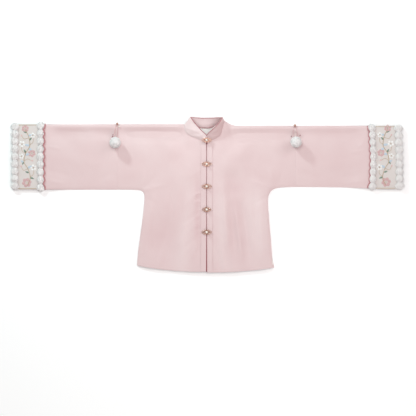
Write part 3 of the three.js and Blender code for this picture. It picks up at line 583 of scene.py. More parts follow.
# %% Turned edges
FOLDED = ((1.0, 0.88, 0.0), (1.7, 0.6, 0.0), (1.6, 0.26, 0.0), (0.9, 0.04, 0.0))
LIPPED = ((0.3, 1.0, 0.25), (0.42, 1.0, 0.75), (0.1, 1.0, 1.2), (-1.0, 1.0, 1.35))
SEAMED = ((0.16, 1.0, 0.03), (0.5, 1.0, 0.25), (0.7, 1.0, 0.7), (0.2, 1.0, 1.2))
TUCKED = ((0.9, 1.0, 0.1), (1.7, 1.0, 0.4), (2.2, 1.0, 0.9), (2.4, 1.0, 1.4))
INSERTED = ((0.6, 1.0, 0.6), (1.6, 1.0, 0.9), (2.6, 1.0, 1.1), (3.4, 1.0, 1.2))
GROOVED = ((0.06, 1.0, 0.03), (0.35, 1.0, 0.25), (0.55, 1.0, 0.7), (0.1, 1.0, 1.2))
SUNKEN = ((0.45, 1.0, 0.45), (1.1, 1.0, 0.8), (2.0, 1.0, 1.05), (3.1, 1.0, 1.2))
OPENING = ((0.2, 1.0, 0.2), (0.25, 1.0, 0.5), (0.0, 1.0, 0.75), (-0.8, 1.0, 0.8))
UNDERLAP = ((0.2, 1.0, 0.2), (0.3, 1.0, 0.7), (0.8, 1.0, 1.15), (9.0, 1.0, 1.3))
TURNS = len(FOLDED)


def turn_edges(bm, profile_at, level_at=lambda place: 0.0, inset=0.0):
    """Extrude a panel's whole outline over its edge, in the steps that its place asks for."""
    edges = [edge for edge in bm.edges if edge.is_boundary]
    out = {}
    for edge in edges:
        loop = edge.link_loops[0]
        along = loop.link_loop_next.vert.co - loop.vert.co
        right = Vector((along.y, -along.x, 0)).normalized()
        for vert in edge.verts:
            out[vert] = out.get(vert, Vector()) + right
    base = {}
    for vert, right in out.items():
        right *= 2 / max(right.length_squared, 1.0)
        vert.co -= right * inset * MM
        base[vert] = (vert.co.copy(), right)
    for step in range(TURNS):
        verts, edges = extrude(bm, edges)
        fresh = {}
        for vert in verts:
            source = next(e.other_vert(vert) for e in vert.link_edges if e.other_vert(vert) in base)
            place, right = fresh[vert] = base[source]
            outward, share, drop = profile_at(place)[step]
            level = level_at(place)
            vert.co = place + right * outward * MM
            vert.co.z = level + (place.z - level) * share - drop * MM
        base = fresh
    bm.normal_update()
    return bm


# %% Thin cloth
CLOTH = 0.8
ALLOWANCE = 6.0


def area_of(bm):
    """The area of all faces, in square metres."""
    return sum(face.calc_area() for face in bm.faces)


def cloth_sheet(name, bm, material, node, thickness=CLOTH):
    """Finish a sheet: its thickness goes inwards, and its cut has an allowance on each edge."""
    xs, ys = zip(*(vert.co.xy for vert in bm.verts))
    width, height = (max(v) - min(v) + 2 * ALLOWANCE * MM for v in (xs, ys))
    cut = min(area_of(bm) + ALLOWANCE * MM * 2 * (width + height), width * height)
    made = piece(name, bm, material, [node])
    wall = made.modifiers.new("thickness", "SOLIDIFY")
    wall.thickness, wall.offset = thickness * MM, -1
    print(f"{name}: cut {width:.3f} by {height:.3f} m, {cut:.4f} square metres")
    return made


# %% [markdown]
# ## The fronts
#
# Each front is cut in one with its upper sleeve, as in old flat-cut jackets: there is no
# shoulder seam, only the fold along the top. The fold is springy, so the cloth stands in a low
# crest just inside it and sinks to a shallow valley before it lies flat.

# %% Fronts
TOPS = {}
NECK_SEAM = []
FRONT_EDGE = 3.6
FRONT_FOOT = -299.0
NECK_FROM = 203.5
NECK_HALF = 92
NECK_TO = {LEFT: 270, RIGHT: 285}
UNDERARM = {LEFT: 22.8, RIGHT: 33}
SLEEVE_SEAM = 345.5
HEM = {LEFT: -273.5, RIGHT: -282.5}
TOP_EDGE = {LEFT: 275.5, RIGHT: 269.5}
FRONT_LEVELS = 3
CREASE_STRENGTH = 1.7
# The crest and the valley beside a fold: height, distance from the fold, and half the width.
FOLD_WAVES = ((3.8, 9.0, 13), (-2.6, 41.0, 20))
ROLL, ROLL_WIDTH = 1.2, 7.0
BEAD_AT = 347
LIFT, LIFT_FROM, LIFT_TO = 4.3, 545, 622
BODY_LOWEST, SLEEVE_LOWER = 4.0, 1.4


def fold_spring(x, distance):
    """How a springy fold stands up at a distance from it, in millimetres.

    It is strongest on the shoulders, lower on the sleeves and held down by each bead, and there
    is none at the neck and the cuffs.
    """
    spring = sum(rise * bell(distance - place, width) for rise, place, width in FOLD_WAVES)
    spring *= ease(60, 130, abs(x)) * (1 - ease(560, 620, abs(x)))
    return spring * (1.75 - 0.7 * ease(150, 480, abs(x))) * (1 - 0.6 * bell(abs(x) - BEAD_AT, 30))


def lowest_at(x):
    """How low the upper layer can sink before it meets the lining, or a sleeve's lower half."""
    return (BODY_LOWEST - SLEEVE_LOWER * ease(262, 325, abs(x))
            + LIFT * ease(LIFT_FROM, LIFT_TO, abs(x)))


def tree_of(places):
    """A search tree of places seen from above."""
    tree = KDTree(len(places))
    for i, place in enumerate(places):
        tree.insert((place.x, place.y, 0), i)
    tree.balance()
    return tree


def laid_at(x, y, side, strength):
    """Creases and slack, which fade at the shoulder fold and the opening, in millimetres."""
    calm = ease(0, 22, TOP_EDGE[side] - y) * ease(4, 22, abs(x))
    return calm * (strength * crease_at(x, y, CREASES) + slack_at(x, y))


def settle(bm, side, profile_at):
    """Lay creases, slack, the springy fold and rolled edges into an upper sheet."""
    folds = tree_of([vert.co.copy() for vert in bm.verts
                     if vert.is_boundary and profile_at(vert.co) is FOLDED])
    for vert in bm.verts:
        x, y = tape(vert.co)
        spring = fold_spring(x, max(TOP_EDGE[side] - y, 0))
        apart = folds.find((vert.co.x, vert.co.y, 0))[2] / MM
        roll = ROLL * (1 - ease(0, ROLL_WIDTH, apart))
        laid = laid_at(x, y, side, CREASE_STRENGTH) * (1 - ease(600, 640, abs(x)))
        vert.co.z += (laid + spring - roll) * MM
        if apart > 3 * ROLL_WIDTH:
            vert.co.z = max(vert.co.z, lowest_at(x) * MM)
    bm.normal_update()
    return bm


def front_profile(side):
    """How the outline of a front is turned at each place."""
    def at(place):
        x, y = tape(place)
        if abs(x) < FRONT_EDGE:
            return UNDERLAP if side == RIGHT and y > FRONT_FOOT else OPENING
        if abs(x) < NECK_HALF and NECK_FROM < y < NECK_TO[side]:
            return TUCKED
        if abs(x) > SLEEVE_SEAM and UNDERARM[side] + 4 < y < TOP_EDGE[side] - 4:
            return GROOVED if side == RIGHT else SEAMED
        return LIPPED if y < HEM[side] else FOLDED
    return at


# Painted light and shade along the swells, one row for each as in the table of creases: lighter
# is more than nought, and one is the whole step between the cloth's two colours.
PAINTED_LIGHT_AND_SHADE = [
    # left front: painted light on the swell's near side, painted shade over the panel and by the
    # placket
    (-84, -118, -98, -366, 28, 0.5), (-74, 60, -76, -150, 16, 0.2),
    (-250, -155, -110, -155, 58, -0.34), (-36, 70, -36, -190, 11, -0.5),
    # right front: painted light, painted shade and painted light again across the valley
    (50, 60, 66, -290, 20, 0.36), (110, 70, 112, -206, 32, -0.36),
    (128, -206, 160, -330, 36, -0.27), (196, 20, 206, -260, 40, 0.42),
]

for side in SIGNS:
    node, profile = f"body_front_{side}", front_profile(side)
    bm = settle(modified(upper_side(node), subdivision(FRONT_LEVELS)), side, profile)
    TOPS[node] = BVHTree.FromBMesh(bm)
    NECK_SEAM += [vert.co.copy() for vert in bm.verts
                  if vert.is_boundary and profile(vert.co) is TUCKED]
    turn_edges(bm, profile)
    # Each point takes the painted light or shade that the table gives at its place.
    tuft_lean_and_painted_light = bm.verts.layers.float.new("tuft_lean_and_painted_light")
    for vert in bm.verts:
        vert[tuft_lean_and_painted_light] = crease_at(*tape(vert.co), PAINTED_LIGHT_AND_SHADE)
    # Faces of the right front down at the opening take the deep rose: painted shade in the gap.
    for face in bm.faces:
        across, up = tape(face.calc_center_median())
        face.material_index = int(side == RIGHT and across < 0.6 and up < NECK_FROM)
    front = cloth_sheet(f"front_{side}", bm, pink_satin, node)
    front.data.materials.append(painted_shade_rose)

# %% [markdown]
# ## The sleeve ends
#
# Below each bead a straight seam joins the sleeve's outer part, a plain tube laid flat. Its top
# and bottom are folds, and its mouth is held up a little by the fur under the cuff. The right
# seam is a hair more open than the left one.

# %% Sleeve ends
SLEEVE_LEVELS = 4
SLEEVE_TUBE, CUFF_TUBE = (348.5, 643.5), (648.5, 746.5)


def lift_at(place):
    """The height of a sleeve's underside, raised by the fur strips under the cuff."""
    return LIFT * MM * ease(LIFT_FROM, LIFT_TO, abs(tape(place)[0]))


def tube_profile(side, seam_x, mouth_x, tuck=INSERTED):
    """Folded along the top and bottom, tucked under at the seam and turned in at the mouth."""
    def at(place):
        x, y = tape(place)
        if seam_x < abs(x) < mouth_x or not UNDERARM[side] + 4 < y < TOP_EDGE[side] - 5:
            return FOLDED
        return tuck if abs(x) < mouth_x else SEAMED
    return at


for side in SIGNS:
    node = f"sleeve_front_{side}"
    profile = tube_profile(side, *SLEEVE_TUBE, SUNKEN if side == RIGHT else INSERTED)
    bm = settle(modified(upper_side(node), subdivision(SLEEVE_LEVELS)), side, profile)
    TOPS[node] = BVHTree.FromBMesh(bm)
    turn_edges(bm, profile, lift_at)
    cloth_sheet(f"sleeve_{side}", bm, pink_satin, node)

# %% [markdown]
# ## The layers below
#
# The back is one panel with its half sleeves, and lies on the surface. A white lining covers its
# inside. Hidden cloth is creased too, but less, because the weight above presses it flat.

# %% Back, back sleeves and back cuffs
BACK_CREASES = [
    (-60, 180, -150, -240, 22, 0.35), (40, 120, 110, -260, 20, 0.4),
    (-210, 120, -190, -230, 16, 0.35), (180, 90, 205, -250, 18, 0.35),
    (-330, 210, -180, 190, 18, 0.3), (320, 190, 170, 170, 20, 0.3), (-240, 40, -170, 100, 10, 0.35),
    (236, 40, 176, 96, 10, 0.35), (-600, 180, -430, 140, 22, 0.35), (590, 160, 420, 120, 24, 0.35),
    (-20, 230, -14, -200, 14, 0.25), (0, -150, 30, -286, 9, 0.3),
]
BACK_DROP, BACK_INSET = 0.4, 0.9
BACKS = [("body_back", "satin", pink_satin, 2)]
for part, slot, cloth in (("sleeve", "satin", pink_satin), ("cuff", "cuff_satin", ivory_satin)):
    BACKS += [(f"{part}_back_{side}", slot, cloth, 4) for side in (LEFT, RIGHT)]
for node, slot, material, levels in BACKS:
    name = node.replace("body_", "").replace("_back_", "_under_")
    bm = modified(upper_side(node), subdivision(levels))
    raised(bm, lambda x, y: crease_at(x, y, BACK_CREASES) - BACK_DROP)
    turn_edges(bm, lambda place: LIPPED, inset=BACK_INSET)
    for vert in bm.verts:
        vert.co.z = max(vert.co.z, lift_at(vert.co) if "under" in name else 0.0)
    cloth_sheet(name, bm, material, node)

# %% Lining
bm = modified(upper_side("lining_back"), subdivision(2))
TOPS["lining_back"] = BVHTree.FromBMesh(bm)
turn_edges(bm, lambda place: LIPPED)
cloth_sheet("lining", bm, white_lining, "lining_back", thickness=0.5)

# %% [markdown]
# ## The cuff bands
#
# Each sleeve ends in a wide ivory band, folded along the top and bottom like the sleeve and
# edged with fur on both sides.

# %% Cuffs
CUFF_CREASES = [
    (-676, 262, -700, 30, 20, 0.35), (-715, 200, -690, 130, 10, -0.35),
    (672, 250, 690, 40, 20, 0.35), (722, 230, 690, 176, 8, 0.45), (724, 206, 684, 190, 7, -0.45),
    (716, 120, 676, 96, 9, 0.35),
]
for side in SIGNS:
    node = f"cuff_front_{side}"
    bm = modified(upper_side(node), subdivision(4))
    raised(bm, lambda x, y: crease_at(x, y, CUFF_CREASES))
    TOPS[node] = BVHTree.FromBMesh(bm)
    turn_edges(bm, tube_profile(side, *CUFF_TUBE), lift_at)
    cloth_sheet(f"cuff_{side}", bm, ivory_satin, node)

# %% [markdown]
# ## Bands, collar and piping
#
# The facing bands and the collar are firm, interfaced cloth, so they keep their thickness. Here
# the whole closed wall is copied, its facets joined back to quads, and Catmull-Clark rounds it
# while creases on the sharp rims keep the edge crisp.

# %% Firm cloth
RIM = math.radians(40)


def firm(node, levels, sharpness):
    """A closed, smooth copy of a CAD wall, with rims as sharp as pressed cloth."""
    bm = copy_of(node)
    bmesh.ops.join_triangles(bm, faces=bm.faces, angle_face_threshold=RIM,
                             angle_shape_threshold=math.pi)
    layer = bm.edges.layers.float.new("crease_edge")
    for edge in bm.edges:
        if len(edge.link_faces) == 2 and edge.calc_face_angle() > RIM:
            edge[layer] = sharpness
    return modified(bm, subdivision(levels))


BAND_SINK = 0.1
BAND_STRENGTH = 1.5
for side in SIGNS:
    node = f"front_band_{side}"
    bm = firm(node, 3, 0.6)
    raised(bm, lambda x, y: laid_at(x, y, side, BAND_STRENGTH) - BAND_SINK)
    TOPS[node] = BVHTree.FromBMesh(bm)
    band = piece(f"band_{side}", bm, pink_satin, [node])

# %% Setting the collar
SEAM_SINK = {LEFT: 1.2, RIGHT: 2.2}
WING_WIDTH, WING_MIDDLE = 38, 250
WING_TILT = {LEFT: -0.06, RIGHT: 0.02}
WING_BOW = {LEFT: -3.0, RIGHT: -4.0}
CORNER_PULL = {LEFT: Vector((0.0, 3.4)) * MM, RIGHT: Vector((-2.4, 1.0)) * MM}
BACK_REACH, BACK_DIP, BACK_HALF = 2.6, -4.5, 58
CROSSING = 231
CLOSE = {LEFT: 5.5, RIGHT: -7.5}
seam_tree = tree_of(NECK_SEAM)
COLLAR_CREASES = [
    (-84, 262, -40, 246, 4, 0.9), (-70, 236, -34, 238, 4, -0.8), (-58, 284, -40, 262, 5, -0.9),
    (-44, 222, -20, 236, 3.5, 0.9), (-24, 214, -12, 228, 3, -0.8), (62, 270, 30, 246, 4, 1.0),
    (56, 246, 28, 236, 4, -1.1), (44, 226, 18, 232, 3.5, 1.0), (26, 216, 12, 226, 3, -0.8),
]


def set_collar(bm, is_wing):
    """Lay the collar's back down; sink a wing into its seam, bow it and pull its corners."""
    for vert in bm.verts:
        x, y = tape(vert.co)
        if is_wing:
            apart = seam_tree.find((vert.co.x, vert.co.y, 0))[2] / MM
            middle = ease(216, 236, y) * (1 - ease(272, 295, y))
            side = RIGHT if x > 0 else LEFT
            rise = WING_BOW[side] * middle * min(apart / WING_WIDTH, 1)
            rise += WING_TILT[side] * (y - WING_MIDDLE) * ease(1, 14, apart)
            rise += crease_at(x, y, COLLAR_CREASES) * ease(2, 8, apart)
            rise -= SEAM_SINK[side] * (1 - ease(0, 5, apart))
            vert.co.x += CLOSE[side] * bell(y - CROSSING, 12) * ease(2, 18, apart) * MM
            vert.co.xy += CORNER_PULL[side] * ease(284, 299, y)
        else:
            vert.co.x += BACK_REACH * ease(34, 57, x) * MM
            rise = BACK_DIP * ease(268, 297, y) * max(1 - (x / BACK_HALF) ** 2, 0)
        vert.co.z = max(vert.co.z + rise * MM, 0.0)
    bm.normal_update()
    return bm


def swollen(bm, by):
    """Push a surface out along its normals, or draw it in if by is negative."""
    bm.normal_update()
    outward = {vert: vert.normal.copy() for vert in bm.verts}
    for vert, normal in outward.items():
        vert.co += normal * by * MM
    return bm


# %% Collar
PIPING_FULLNESS = 0.5
# The left wing takes a lighter copy of the satin and the right wing a deeper one:
# painted light and painted shade for how the lamps fall on the two wings.
COLLAR = {"back": (0.17, pink_satin), "wing_left": (0.13, painted_lit_satin),
          "wing_right": (0.13, painted_shaded_satin)}
for part, (width, cloth) in COLLAR.items():
    node = f"collar_{part}"
    bm = set_collar(firm(node, 3, 0.75), "wing" in node)
    one_layer = area_of(bm) / 2
    if part == "back":
        TOPS[node] = BVHTree.FromBMesh(bm)
    made = piece(f"stand_{part}", bm, cloth, [node])
    print(f"{made.name}: {one_layer:.4f} square metres of doubled cloth")
for part in COLLAR:
    node = f"collar_piping_{part}"
    bm = swollen(set_collar(firm(node, 2, 0.0), "wing" in node), PIPING_FULLNESS)
    piece(f"neck_piping_{part}", bm, rose_satin, [node])
NECKLINE = [(-42, 266.2), (-34, 265), (-17, 263.2), (0, 262.5), (10, 263.4), (19.5, 265.2),
            (30, 269.4), (39.5, 274.4), (50, 281.4)]

# %% [markdown]
# ## Resting on the cloth
#
# Thread and piping lie on the creased cloth, not on the CAD panel, so their height comes from a
# ray cast straight down on the finished sheets.

# %% Finding the cloth
def on_cloth(x, y, lift=0.0):
    """The point on the topmost sheet at a place, raised by lift, and the sheet's normal."""
    start, down = spot(x, y, HIGH), Vector((0, 0, -1))
    hits = [tree.ray_cast(start, down)[:2] for tree in TOPS.values()]
    point, normal = max((hit for hit in hits if hit[0]), key=lambda hit: hit[0].z,
                        default=(spot(x, y), -down))
    return point + normal * lift * MM, normal


bm = bmesh.new()
sweep(bm, smooth_route([on_cloth(x, y - 1.4, 1.6)[0] for x, y in NECKLINE], 24), 1.2 * MM)
piece("neck_seam_piping", bm, rose_satin)
del TOPS["collar_back"]

# %% [markdown]
# ## Clasps
#
# Five stamped metal clasps hold the opening. Each half is an almond-shaped leaf with a pierced
# eye and a loop at its tip; a half pearl sits where they meet. A stamped plate has softened
# edges, and fine wire with rows of tiny grains is soldered on top.

# %% Metal and pearl
def plated(name, code, roughness):
    """Electroplated metal, with the faint unevenness of casting."""
    material, tree, shader = new_material(name, Metallic=1.0, Base_Color=colour(code))
    wear = speckle(tree, 1 / (1.5 * MM))
    uneven(tree, shader, wear, roughness - 0.07, roughness + 0.1)
    relief(tree, shader, wear, 0.15, 0.1)
    return material


rose_gold = plated("rose-gold plated brass", "BB9384", 0.42)
bright_gold = plated("bright rose-gold wire", "E6C9BB", 0.36)
nacre, tree, shader = new_material("pearl lacquer", Roughness=0.22, IOR=1.53, Coat_Weight=0.5,
                                   Coat_Roughness=0.08)
# The pearl is painted lighter where it faces the camera and greyer towards its rim: a painted
# sheen.
facing = add(tree, "ShaderNodeLayerWeight", {"Blend": 0.4}).outputs["Facing"]
two_tone(tree, shader, facing, colour("EDE6DD"), colour("D8C8C0"))

# %% Clasp leaves
CLASPS = [(213, 39), (120, 39), (33, 39), (-57, 36), (-145, 39)]
METAL, LOOP, LEAF_TIP = 2.4, 5.4, 0.56
EDGE_SOFTNESS = 0.35


def stamped(node):
    """A CAD plate with its facets joined and its sharp edges softened."""
    bm = copy_of(node)
    bmesh.ops.dissolve_limit(bm, angle_limit=math.radians(1), verts=bm.verts, edges=bm.edges)
    sharp = [edge for edge in bm.edges if len(edge.link_faces) == 2
             and edge.calc_face_angle() > math.radians(60)]
    bmesh.ops.bevel(bm, geom=sharp, offset=EDGE_SOFTNESS * MM, offset_type="OFFSET", segments=2,
                    profile=0.5, affect="EDGES", clamp_overlap=True, material=-1)
    return bm


def ball(bm, place, radius, around=8, up=4):
    """A ball: a grain of solder, a knot of thread or a pearl."""
    bmesh.ops.create_uvsphere(bm, u_segments=around, v_segments=up, radius=radius,
                              matrix=Matrix.Translation(place))
    return bm


# A wire's steps; where the rim's wires start, how much shorter than the leaf they are, and how
# far from its middle they run; the radius of the ring round the loop, and of the two wires.
WIRE_STEPS, RIM_START, RIM_SHORTER, RIM_REACH = 18, 3.0, 4.6, 8.8
RING, RING_WIRE, RIM_WIRE = 4.2, 0.5, 0.42
GRAINS, GRAINS_AT, GRAINS_APART, GRAIN = 5, 6.6, 2.9, 0.7


def clasp_wires(bm, centre, half, side):
    """Filigree on one leaf: wires along its rim and round the loop, and grains by the eye."""
    def at(x, y, up=METAL):
        return centre + Vector((side * x, y, up)) * MM

    loop_x = half - LOOP
    for rim in (1.0, 0.6):
        for flip in (1, -1):
            route = []
            for i in range(WIRE_STEPS + 1):
                t = i / WIRE_STEPS
                reach = RIM_REACH * rim * (1 - (1 - LEAF_TIP) * t ** 2.4)
                route.append(at(RIM_START + (loop_x - RIM_SHORTER) * t, flip * reach))
            sweep(bm, route, RIM_WIRE * MM, sides=6)
    ring = [at(loop_x + RING * math.cos(a), RING * math.sin(a)) for a in
            (2 * math.pi * i / 20 for i in range(21))]
    sweep(bm, ring, RING_WIRE * MM, sides=6)
    for i in range(GRAINS):
        ball(bm, at(GRAINS_AT, (i - GRAINS // 2) * GRAINS_APART, METAL + 0.2), GRAIN * MM)


wires = bmesh.new()
for number, (y, length) in enumerate(CLASPS, start=1):
    for side, sign in SIGNS.items():
        node = f"clasp_{number}_{side}"
        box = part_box(node)
        piece(f"leaf_{number}_{side}", stamped(node), rose_gold, [node], smooth=False)
        clasp_wires(wires, Vector((*spot(0, y).xy, box[0][2])), length / 2, sign)
piece("clasp_filigree", wires, bright_gold)

# %% Clasp pearls
for number in range(1, len(CLASPS) + 1):
    node = f"clasp_{number}_pearl"
    pearl = ball(bmesh.new(), *middle_of(node), 28, 18)
    piece(f"pearl_{number}", pearl, nacre, [node])
print("clasps:", len(CLASPS))

# %% [markdown]
# ## Beads and drops
#
# A plated bead sits on the fold above each plush ball, drilled from end to end, with a rolled
# rim round each hole. Small polished glass beads finish the outer cords. A drilled bead is a
# profile spun round its own axis.

# %% Beads
HOLE = 0.28
BEAD_STEPS = 12


def drilled_bead(node, axis):
    """Spin a rounded profile with a rolled rim round the axis of a CAD node's bead."""
    centre, radius = middle_of(node)
    bm = bmesh.new()
    hole, start = HOLE * radius, math.asin(HOLE)
    angles = (start + (math.pi - 2 * start) * i / BEAD_STEPS for i in range(1, BEAD_STEPS))
    top = radius * math.cos(start)
    rim = [(hole, top * 0.8), (hole, top * 1.04), (hole * 1.5, top * 1.06)]
    profile = [*rim, *((radius * math.sin(a), radius * math.cos(a)) for a in angles),
               *((x, -z) for x, z in reversed(rim))]
    verts = [bm.verts.new((x, 0, z)) for x, z in profile]
    edges = [bm.edges.new(pair) for pair in zip(verts, verts[1:])]
    edges.append(bm.edges.new((verts[-1], verts[0])))
    bmesh.ops.spin(bm, geom=verts + edges, cent=(0, 0, 0), axis=(0, 0, 1), angle=2 * math.pi,
                   steps=2 * BEAD_STEPS, use_merge=True)
    bmesh.ops.remove_doubles(bm, verts=bm.verts, dist=0.001 * MM)
    bmesh.ops.recalc_face_normals(bm, faces=bm.faces)
    turn = Vector(axis).to_track_quat("Z", "X").to_matrix().to_4x4()
    bmesh.ops.transform(bm, matrix=Matrix.Translation(centre) @ turn, verts=bm.verts)
    return bm


garnet, tree, shader = new_material("polished garnet glass", Roughness=0.12, IOR=1.6,
                                    Coat_Weight=0.3)
two_tone(tree, shader, speckle(tree, 1 / (2 * MM)), colour("7C4046"), colour("A0656A"))

for side in CHARMS:
    node = f"charm_{side}_bead"
    piece(f"fold_bead_{side}", drilled_bead(node, (0.1, 1, 0.1)), rose_gold, [node])
    for number in (1, 2):
        node = f"charm_{side}_drop_{number}"
        piece(f"drop_{side}_{number}", drilled_bead(node, (0.2, 1, 0)), garnet,
              [node])
node = "charm_left_pearl"
piece("fold_pearl", drilled_bead(node, (0.4, 1, 0)), nacre, [node])

# %% [markdown]
# ## Plush
#
# Fur trim is a strip of knitted pile gathered into puffs, and the balls are the same pile. A
# close view shows many fine tufts leaning all ways. Real tufts are thousands of fibres; here
# each is one slim three-sided cone. Geometry Nodes scatters them over a soft base, tilts each a
# little by a seeded random turn, and makes them real, so that the mesh holds every tuft.

# %% Pile by Geometry Nodes
TUFT_SIZES = 0.65, 1.1


def pile(name, density, length, width, tuft_lean_and_painted_light, seed):
    """A node group that scatters tufts over a base and keeps them above the floor."""
    tree = bpy.data.node_groups.new(name, "GeometryNodeTree")
    for end in ("INPUT", "OUTPUT"):
        tree.interface.new_socket("Geometry", in_out=end, socket_type="NodeSocketGeometry")
    base = add(tree, "NodeGroupInput").outputs[0]
    points = add(tree, "GeometryNodeDistributePointsOnFaces",
                 {"Mesh": base, "Density": density, "Seed": seed}, distribute_method="RANDOM")
    cone = add(tree, "GeometryNodeMeshCone",
               {"Vertices": 3, "Radius Bottom": width, "Depth": length}, fill_type="NONE")
    tilt = add(tree, "FunctionNodeRandomValue", {"Min": (tuft_lean_and_painted_light[0], 0, -math.pi), "Seed": seed + 1},
               data_type="FLOAT_VECTOR")
    tilt.inputs["Max"].default_value = (tuft_lean_and_painted_light[1], 0, math.pi)
    turn = add(tree, "FunctionNodeRotateRotation",
               {"Rotation": points.outputs["Rotation"], "Rotate By": tilt.outputs[0]},
               rotation_space="LOCAL")
    size = add(tree, "FunctionNodeRandomValue", {"Seed": seed + 2}, data_type="FLOAT")
    size.inputs[2].default_value, size.inputs[3].default_value = TUFT_SIZES
    tufts = add(tree, "GeometryNodeInstanceOnPoints",
                {"Points": points.outputs["Points"], "Instance": cone.outputs["Mesh"],
                 "Rotation": turn.outputs[0], "Scale": size.outputs[1]})
    real = add(tree, "GeometryNodeRealizeInstances", {"Geometry": tufts.outputs[0]})
    both = add(tree, "GeometryNodeJoinGeometry")
    tree.links.new(base, both.inputs[0])
    tree.links.new(real.outputs[0], both.inputs[0])
    where = add(tree, "ShaderNodeSeparateXYZ",
                {"Vector": add(tree, "GeometryNodeInputPosition").outputs[0]})
    above = add(tree, "ShaderNodeMath", {0: where.outputs["Z"], 1: 0.0}, operation="MAXIMUM")
    place = add(tree, "ShaderNodeCombineXYZ",
                {"X": where.outputs["X"], "Y": where.outputs["Y"], "Z": above.outputs[0]})
    kept = add(tree, "GeometryNodeSetPosition",
               {"Geometry": both.outputs[0], "Position": place.outputs[0]})
    out = add(tree, "NodeGroupOutput")
    tree.links.new(kept.outputs[0], out.inputs[0])
    return tree


# %% Plush material
plush, tree, shader = new_material("white plush pile", Roughness=0.85, Sheen_Weight=1.0,
                                   Sheen_Roughness=0.5, Specular_IOR_Level=0.15)
two_tone(tree, shader, speckle(tree, 1 / (9 * MM)), colour("FBF5F4"), colour("FFFBFA"))

# %% Fur strips
TUFT, TUFT_WIDTH, TUFT_LEAN = 4.0, 0.46, (0.95, 1.48)
STRIP_DENSITY = 760_000
VOXEL = 2.4
STRIP_MIDDLE, STRIP_HALF = 7.0, 16
PILE_ROOM = 1.4
PUFFS, EDGE_STEPS = 9, 60
# Shares of a strip's width and height, at the ties and added in the puffs between them.
TIED_WIDTH, PUFF_WIDTH = 0.76, 0.37
TIED_DIP, PUFF_HEIGHT, SHOULDER_DIP = 0.14, 0.24, 0.4
# Lumps in the pile: how high they are, and how far apart.
LUMPS = ((0.9, 13), (0.8, 4.5))


def extent_of(bm):
    """The lowest and the highest Y of a bmesh."""
    ys = [vert.co.y for vert in bm.verts]
    return min(ys), max(ys)


def puffed(bm):
    """Gather a strip into puffs, wider and higher between its ties, with small lumps."""
    low, high = extent_of(bm)
    ends = []
    for y in (low, high):
        near = [vert.co.x for vert in bm.verts if abs(vert.co.y - y) < 30 * MM]
        ends.append((min(near) + max(near)) / 2)
    for vert in bm.verts:
        t = (vert.co.y - low) / (high - low)
        puff = abs(math.sin(math.pi * PUFFS * t)) ** 0.7
        middle = ends[0] + (ends[1] - ends[0]) * t
        lump = MM * sum(rise * noise.noise(vert.co / (apart * MM)) for rise, apart in LUMPS)
        vert.co.x = middle + (vert.co.x - middle) * (TIED_WIDTH + PUFF_WIDTH * puff) + lump
        vert.co.z = max(vert.co.z, 0.0)
        if vert.co.z > STRIP_MIDDLE * MM:
            aside = min(abs(vert.co.x - middle) / (STRIP_HALF * MM), 1)
            swell = PUFF_HEIGHT * puff - TIED_DIP - SHOULDER_DIP * aside ** 4
            vert.co.z += (vert.co.z - STRIP_MIDDLE * MM) * swell + lump
    return bm


def inboard_edge(bm):
    """The edge of a strip on the sleeve's side, from its foot to its top."""
    low, high = extent_of(bm)
    edge = []
    for i in range(EDGE_STEPS + 1):
        y = low + (high - low) * (0.03 + 0.94 * i / EDGE_STEPS)
        near = [abs(vert.co.x) for vert in bm.verts if abs(vert.co.y - y) < 4 * MM]
        edge.append((min(near), y))
    return edge


# Each side's rose cord along the inner fur, painted shade for the fur's shadow on the sleeve:
# its radius, and how far it lies under the puffs.
FUR_SHADOW_CORDS = {LEFT: (2.8, 1.6), RIGHT: (2.3, 0.7)}
for side in SIGNS:
    for number, strip in enumerate(("inner", "outer")):
        nodes = [f"fur_{strip}_front_{side}", f"fur_{strip}_back_{side}"]
        bm = modified(copy_of(*nodes),
                      ("REMESH", {"mode": "VOXEL", "voxel_size": VOXEL * MM}),
                      ("SMOOTH", {"factor": 0.5, "iterations": 4}))
        puffed(swollen(bm, -PILE_ROOM))
        # A rose satin cord under the inner strip's edge is painted shade for the fur's shadow.
        if strip == "inner":
            thick, inside = FUR_SHADOW_CORDS[side]
            edge = [tape(Vector((SIGNS[side] * (x - inside * MM), y, 0)))
                    for x, y in inboard_edge(bm)]
            route = [on_cloth(x, y, thick * 0.7)[0] for x, y in edge]
            piece(f"painted_fur_shadow_{side}", sweep(bmesh.new(), route, thick * MM), rose_satin)
        group = pile(f"pile_{strip}_{side}", STRIP_DENSITY, TUFT * MM, TUFT_WIDTH * MM, TUFT_LEAN,
                     10 * number + (side == RIGHT))
        bm = modified(bm, ("NODES", {"node_group": group}))
        piece(f"fur_{strip}_{side}", bm, plush, nodes)
        print(f"fur_{strip}_{side}:", TRIANGLES[f"fur_{strip}_{side}"], "triangles")

# %% Plush balls
BALL_TUFT, BALL_TUFT_WIDTH, BALL_LEAN = 3.0, 0.44, (1.1, 1.5)
BALL_DENSITY = 1_050_000
for number, side in enumerate((LEFT, RIGHT)):
    node = f"charm_{side}_pompom"
    centre, radius = middle_of(node)
    bm = bmesh.new()
    bmesh.ops.create_icosphere(bm, subdivisions=5, radius=radius - 1.2 * MM)
    for vert in bm.verts:
        lump = noise.noise(vert.co / (11 * MM) + Vector((number, 0, 0)))
        vert.co *= 1 + 0.04 * lump + 0.03 * noise.noise(vert.co / (4 * MM))
    bmesh.ops.translate(bm, vec=centre, verts=bm.verts)
    group = pile(f"ball_pile_{side}", BALL_DENSITY, BALL_TUFT * MM, BALL_TUFT_WIDTH * MM, BALL_LEAN,
                 50 + number)
    bm = modified(bm, ("NODES", {"node_group": group}))
    piece(f"ball_{side}", bm, plush, [node])
    print(f"ball_{side}:", TRIANGLES[f"ball_{side}"], "triangles")

